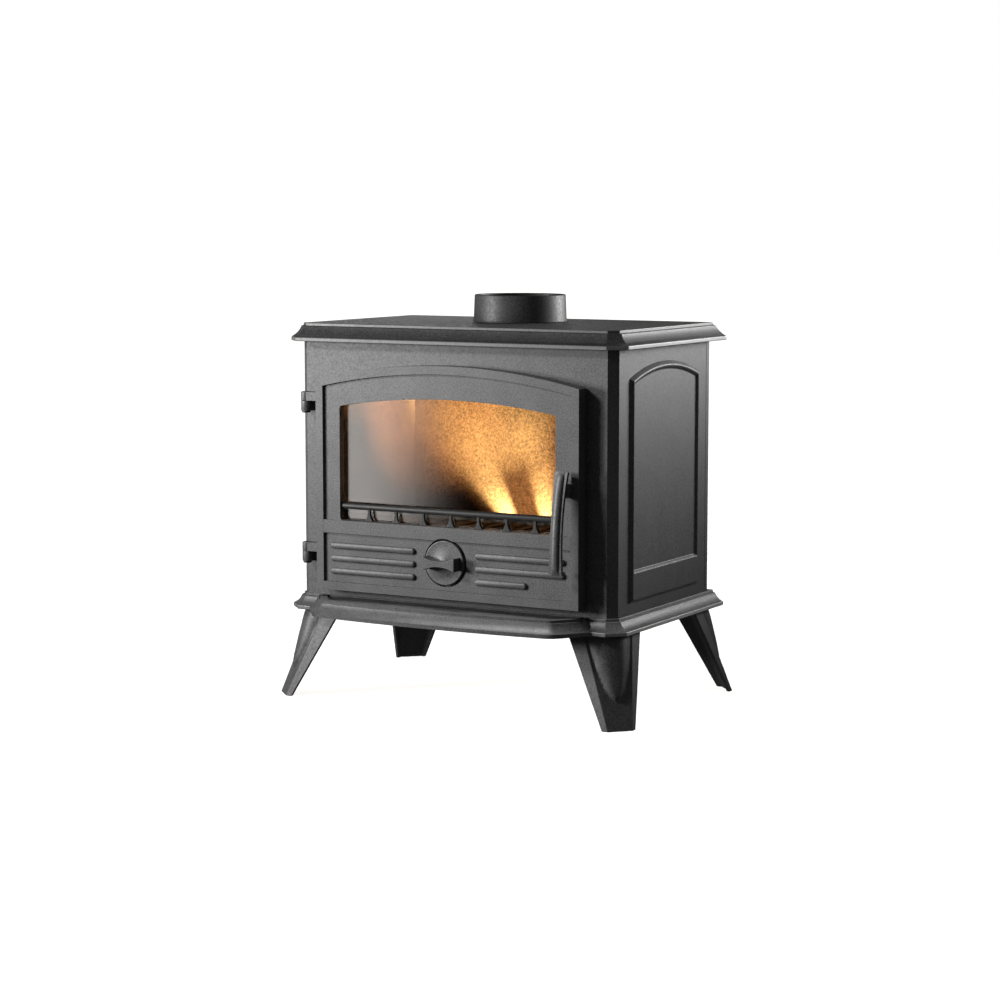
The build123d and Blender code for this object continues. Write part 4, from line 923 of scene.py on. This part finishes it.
class STOVE_OT_handle(bpy.types.Operator):
    """Latch handle: a bowed lever with a rounded rib, its hub, spindle and cam"""

    bl_idname = "stove.handle"
    bl_label = "Latch handle"

    def execute(self, context):
        x, top, bottom = HANDLE_AT[0], 405 * MM, 244 * MM
        front = arc((43 * MM, top), (63 * MM, bottom), 6.2 * MM, 61)
        # distance out of the front plate and height, from top to bottom, with its own normal
        along = unit(np.gradient(front, axis=0))
        normal = np.stack([-along[:, 1], along[:, 0]], axis=1)
        normal *= np.sign(normal[:, :1])
        t = np.linspace(-1, 1, len(front))[:, None]
        half = (9.5 + 2.0 * t**2) * MM
        rib = 4.5 * MM * np.sqrt(np.clip(1 - (t / 0.97) ** 8, 0, 1))
        turn = np.linspace(0, math.pi, 15)[None, :]
        # section: across the lever and out along the normal
        across = np.concatenate([half, 6.4 * MM * np.cos(turn) + 0 * t, -half, -half, half], axis=1)
        flat, behind = 0 * t, 0 * t - 6 * MM
        outward_by = np.concatenate([flat, rib * np.sin(turn), flat, behind, behind], axis=1)
        stand = front[:, :1] + normal[:, :1] * outward_by
        height = front[:, 1:] + normal[:, 1:] * outward_by
        lever = lofted(np.stack([x + across, FRONT - stand, height], axis=-1))
        toe = block((x - 11 * MM, FRONT - 62 * MM, bottom), (x + 11 * MM, FRONT - 50.5 * MM, bottom + 5 * MM))
        hub = tube(BORE, HUB, 34.4 * MM, 43 * MM, 0, HANDLE_AT, (0, -1, 0))
        grip = make("handle_lever_casting", [lever, toe, hub], finish("satin_cast_iron"), "handle",
                    ["handle_lever"], 1.0)
        lit_by("front_top", grip)
        dress("turned_steel", 0.3, "handle_spindle", "latch_cam", "handle_nut")
        return {"FINISHED"}


# ---- plain castings, fittings and firebox
class STOVE_OT_body(bpy.types.Operator):
    """Front and rear plates, rear blanking plate, hinges and every fastening"""

    bl_idname = "stove.body"
    bl_label = "Front, rear and fittings"

    def execute(self, context):
        lugs = ("hinge_lug_upper", "hinge_lug_lower")
        dress("painted_sand_cast_iron", 1.0, "front_plate", "rear_plate", "rear_flue_cover", *lugs)
        lit_by("front_top", *(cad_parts[node] for node in ("front_plate", *lugs)))
        dress("blackened_steel", 0.4, "rear_cover_bar", "collar_clips", "rear_cover_bolt", "leg_bolts",
              "tie_rod_nuts", "ash_lip_bolts", "tie_rods", "latch_keeper", "keeper_screws",
              "hinge_lug_screws")
        dress("blackened_steel", 0.6, "hinge_pin_upper", "hinge_pin_lower")
        return {"FINISHED"}


class STOVE_OT_firebox(bpy.types.Operator):
    """Liners, fireback, baffle, grate, bed, log guard and ash pan"""

    bl_idname = "stove.firebox"
    bl_label = "Firebox"

    def execute(self, context):
        lit_nodes = ("liner_left", "liner_right", "baffle_plate")
        dress("sooted_cast_iron", 1.0, "bed_plate", "fire_grate", *lit_nodes)
        dress("painted_sand_cast_iron", 1.0, "log_guard")
        back_wall = make("fireback_casting", [block(*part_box("fireback"))], finish("sooted_cast_iron"),
                         "stove", ["fireback"], 1.0)
        lit_by("fire", back_wall, *(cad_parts[node] for node in lit_nodes))
        dress("pressed_steel_sheet", 0.4, "ash_pan")
        return {"FINISHED"}


# ---- studio
def set_lamp(name, light, place, target, receivers=None):
    """Puts a lamp at a place, facing a target, and lets it light only its receivers where they are given."""
    lamp = bpy.data.objects.new(name, light)
    lamp.location = place
    lamp.rotation_euler = (Vector(target) - Vector(place)).to_track_quat("-Z", "Y").to_euler()
    lamp.visible_camera = lamp.visible_transmission = False
    if receivers:
        lamp.light_linking.receiver_collection = receivers
    bpy.context.scene.collection.objects.link(lamp)


def panel_light(name, place, target, size, power, fan, receivers=None):
    """A flat soft light at a place, turned to face a target, in metres, watts and degrees of spread."""
    light = bpy.data.lights.new(name, "AREA")
    light.shape = "RECTANGLE"
    light.size, light.size_y = size
    light.energy = power
    light.spread = math.radians(fan)
    set_lamp(name, light, place, target, receivers)


def flat_sheet(name, corners, material, receivers):
    """A flat four-cornered part of the studio, in a collection of receivers of its own."""
    mesh = bpy.data.meshes.new(name)
    mesh.from_pydata(corners, [], [(0, 1, 2, 3)])
    mesh.materials.append(material)
    sheet = bpy.data.objects.new(name, mesh)
    bpy.context.scene.collection.objects.link(sheet)
    return sheet, bpy.data.collections.new(receivers)


def build_floor():
    """The floor, and two suns that light nothing else: one casts the soft shadows, the other casts none."""
    reach = 40.0
    corners = [(-reach, -reach, 0), (reach, -reach, 0), (reach, reach, 0), (-reach, reach, 0)]
    ground, only_floor = flat_sheet("studio_floor", corners, finish("painted_floor"), "floor_lit")
    ground.visible_diffuse = ground.visible_glossy = False
    only_floor.objects.link(ground)
    for name, strength, spread, shadow in (("floor_soft", 0.7, 70, True), ("floor_even", 3.6, 1, False)):
        sun = bpy.data.lights.new(name, "SUN")
        sun.energy = strength
        sun.angle = math.radians(spread)
        sun.use_shadow = shadow
        set_lamp(name, sun, (0, 0, 6), (0, 0, 0), only_floor)


def build_room(scene):
    """The room: white where it is seen, and dim where it lights the stove, a little less from below."""
    scene.world = bpy.data.worlds.new("studio")
    scene.world.use_nodes = True
    tree = scene.world.node_tree
    tree.nodes.clear()
    seen = add_node(tree, "ShaderNodeLightPath").outputs["Is Camera Ray"]
    place = add_node(tree, "ShaderNodeTexCoord").outputs["Generated"]
    upward = add_node(tree, "ShaderNodeSeparateXYZ", {"Vector": place}).outputs[2]
    strength = ranged(tree, seen, ranged(tree, upward, 0.1, 0.12, -0.2, 0.3), 1.0)
    sky = add_node(tree, "ShaderNodeBackground", {"Color": rgb("#ffffff"), "Strength": strength})
    add_node(tree, "ShaderNodeOutputWorld", {"Surface": sky.outputs[0]})


def build_lamps():
    """Two large lamps, four screened off from all but the parts they are for, and a mirrored card."""
    panel_light("key_left", (-1.70, -1.60, 0.66), (0.25, -0.15, 0.45), (0.7, 0.5), 12.5, 75)
    panel_light("side_right", (1.2, 1.45, 0.98), (0.3, 0.0, 0.72), (0.9, 0.7), 3.65, 42)
    for name, place, target, size, power, fan in (
        ("deck_skim", (-1.5, 2.2, 1.05), (-0.1, 0.1, 0.66), (0.8, 0.3), 2.8, 180),
        ("front_top", (-1.0, -1.5, 1.5), (0.0, -0.15, 0.42), (0.4, 0.3), 5.0, 60),
        ("base_side", (1.3, 0.6, 0.9), (0.31, 0.05, 0.17), (0.5, 0.4), 2.6, 60),
        ("lip_top", (-0.1, -0.27, 0.95), (0.0, -0.2, 0.18), (0.8, 0.2), 4.6, 90),
    ):
        panel_light(name, place, target, size, power, fan, bpy.data.collections.new(f"{name}_lit"))
    left, right, y, low, high = -2.0, -0.6, -1.9, -0.1, 0.7
    corners = [(left, y, low), (right, y, low), (right, y, high), (left, y, high)]
    card, pane = flat_sheet("reflector_card", corners, glowing_card("lit_reflector_card", 3.3, -0.95, -1.35),
                            "reflecting_pane")
    card.visible_camera = card.visible_shadow = False
    pane.objects.link(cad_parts["door_glass"])
    card.light_linking.receiver_collection = pane


def build_fire(tones):
    """Firelight: two flames and three glows, which fall on the firebox walls only."""
    deep = FRONT + 300 * MM
    walls = bpy.data.collections.new("fire_lit")
    for name, place, target, colour, power, cone, blend in (
        ("flame_left", (-0.023, deep - 0.022, 0.2325), (-0.098, deep, 0.338), tones.flame, 72.0, 31, 1.0),
        ("flame_right", (0.023, deep - 0.022, 0.2167), (0.004, deep, 0.350), tones.flame, 66.0, 25, 1.0),
        ("fire_low", (0.02, -0.09, 0.298), (0.068, -0.058, 0.38), tones.fire, 11.0, 180, 0.15),
        ("fire_high", (-0.04, 0.02, 0.37), (-0.09, deep, 0.47), tones.flame, 7.5, 105, 1.0),
        ("fire_corner", (0.0, -0.10, 0.38), (-0.235, 0.155, 0.49), tones.fire, 20.0, 66, 1.0),
    ):
        flame = bpy.data.lights.new(name, "SPOT")
        flame.energy = power
        flame.color = colour[:3]
        flame.spot_size = math.radians(cone)
        flame.spot_blend = blend
        flame.shadow_soft_size = 5 * MM
        flame.use_shadow = False
        set_lamp(name, flame, place, target, walls)


def build_camera(scene):
    """The camera, to the right of the stove and looking down on it a little."""
    camera = bpy.data.cameras.new("camera")
    camera.sensor_width = 36.0
    camera.lens = 89.65
    eye = bpy.data.objects.new("camera", camera)
    eye.location = (2.0337, -3.5950, 0.8070)
    eye.rotation_euler = (math.radians(90 - 6.611), 0.0, math.radians(29.481))
    scene.collection.objects.link(eye)
    scene.camera = eye


class STOVE_OT_studio(bpy.types.Operator):
    """Pale floor, soft lights, firelight and camera"""

    bl_idname = "stove.studio"
    bl_label = "Studio"

    def execute(self, context):
        context.scene.view_settings.view_transform = "Standard"
        build_floor()
        build_room(context.scene)
        build_lamps()
        build_fire(context.scene.stove_colours)
        build_camera(context.scene)
        return {"FINISHED"}


STEPS = (STOVE_OT_studio, STOVE_OT_top, STOVE_OT_base, STOVE_OT_legs, STOVE_OT_sides, STOVE_OT_door,
         STOVE_OT_dial, STOVE_OT_handle, STOVE_OT_body, STOVE_OT_firebox)


class STOVE_PT_panel(bpy.types.Panel):
    """The stove's steps and settings in the 3D view's sidebar"""

    bl_label = "Stove"
    bl_idname = "STOVE_PT_panel"
    bl_space_type = "VIEW_3D"
    bl_region_type = "UI"
    bl_category = "Stove"

    def draw(self, context):
        for step in STEPS:
            self.layout.operator(step.bl_idname)
        for group in (context.scene.stove_sizes, context.scene.stove_colours):
            for key in group.__annotations__:
                self.layout.prop(group, key)


CLASSES = (StoveSizes, StoveColours, *STEPS, STOVE_PT_panel)


def register():
    """Registers every class and hangs the two settings groups on the scene."""
    for cls in CLASSES:
        bpy.utils.register_class(cls)
    bpy.types.Scene.stove_sizes = PointerProperty(type=StoveSizes)
    bpy.types.Scene.stove_colours = PointerProperty(type=StoveColours)


def unregister():
    """Undoes register."""
    del bpy.types.Scene.stove_colours
    del bpy.types.Scene.stove_sizes
    for cls in reversed(CLASSES):
        bpy.utils.unregister_class(cls)


def main():
    """Builds everything in order."""
    register()
    for step in STEPS:
        group, call = step.bl_idname.split(".")
        getattr(getattr(bpy.ops, group), call)()


if __name__ == "__main__":
    main()
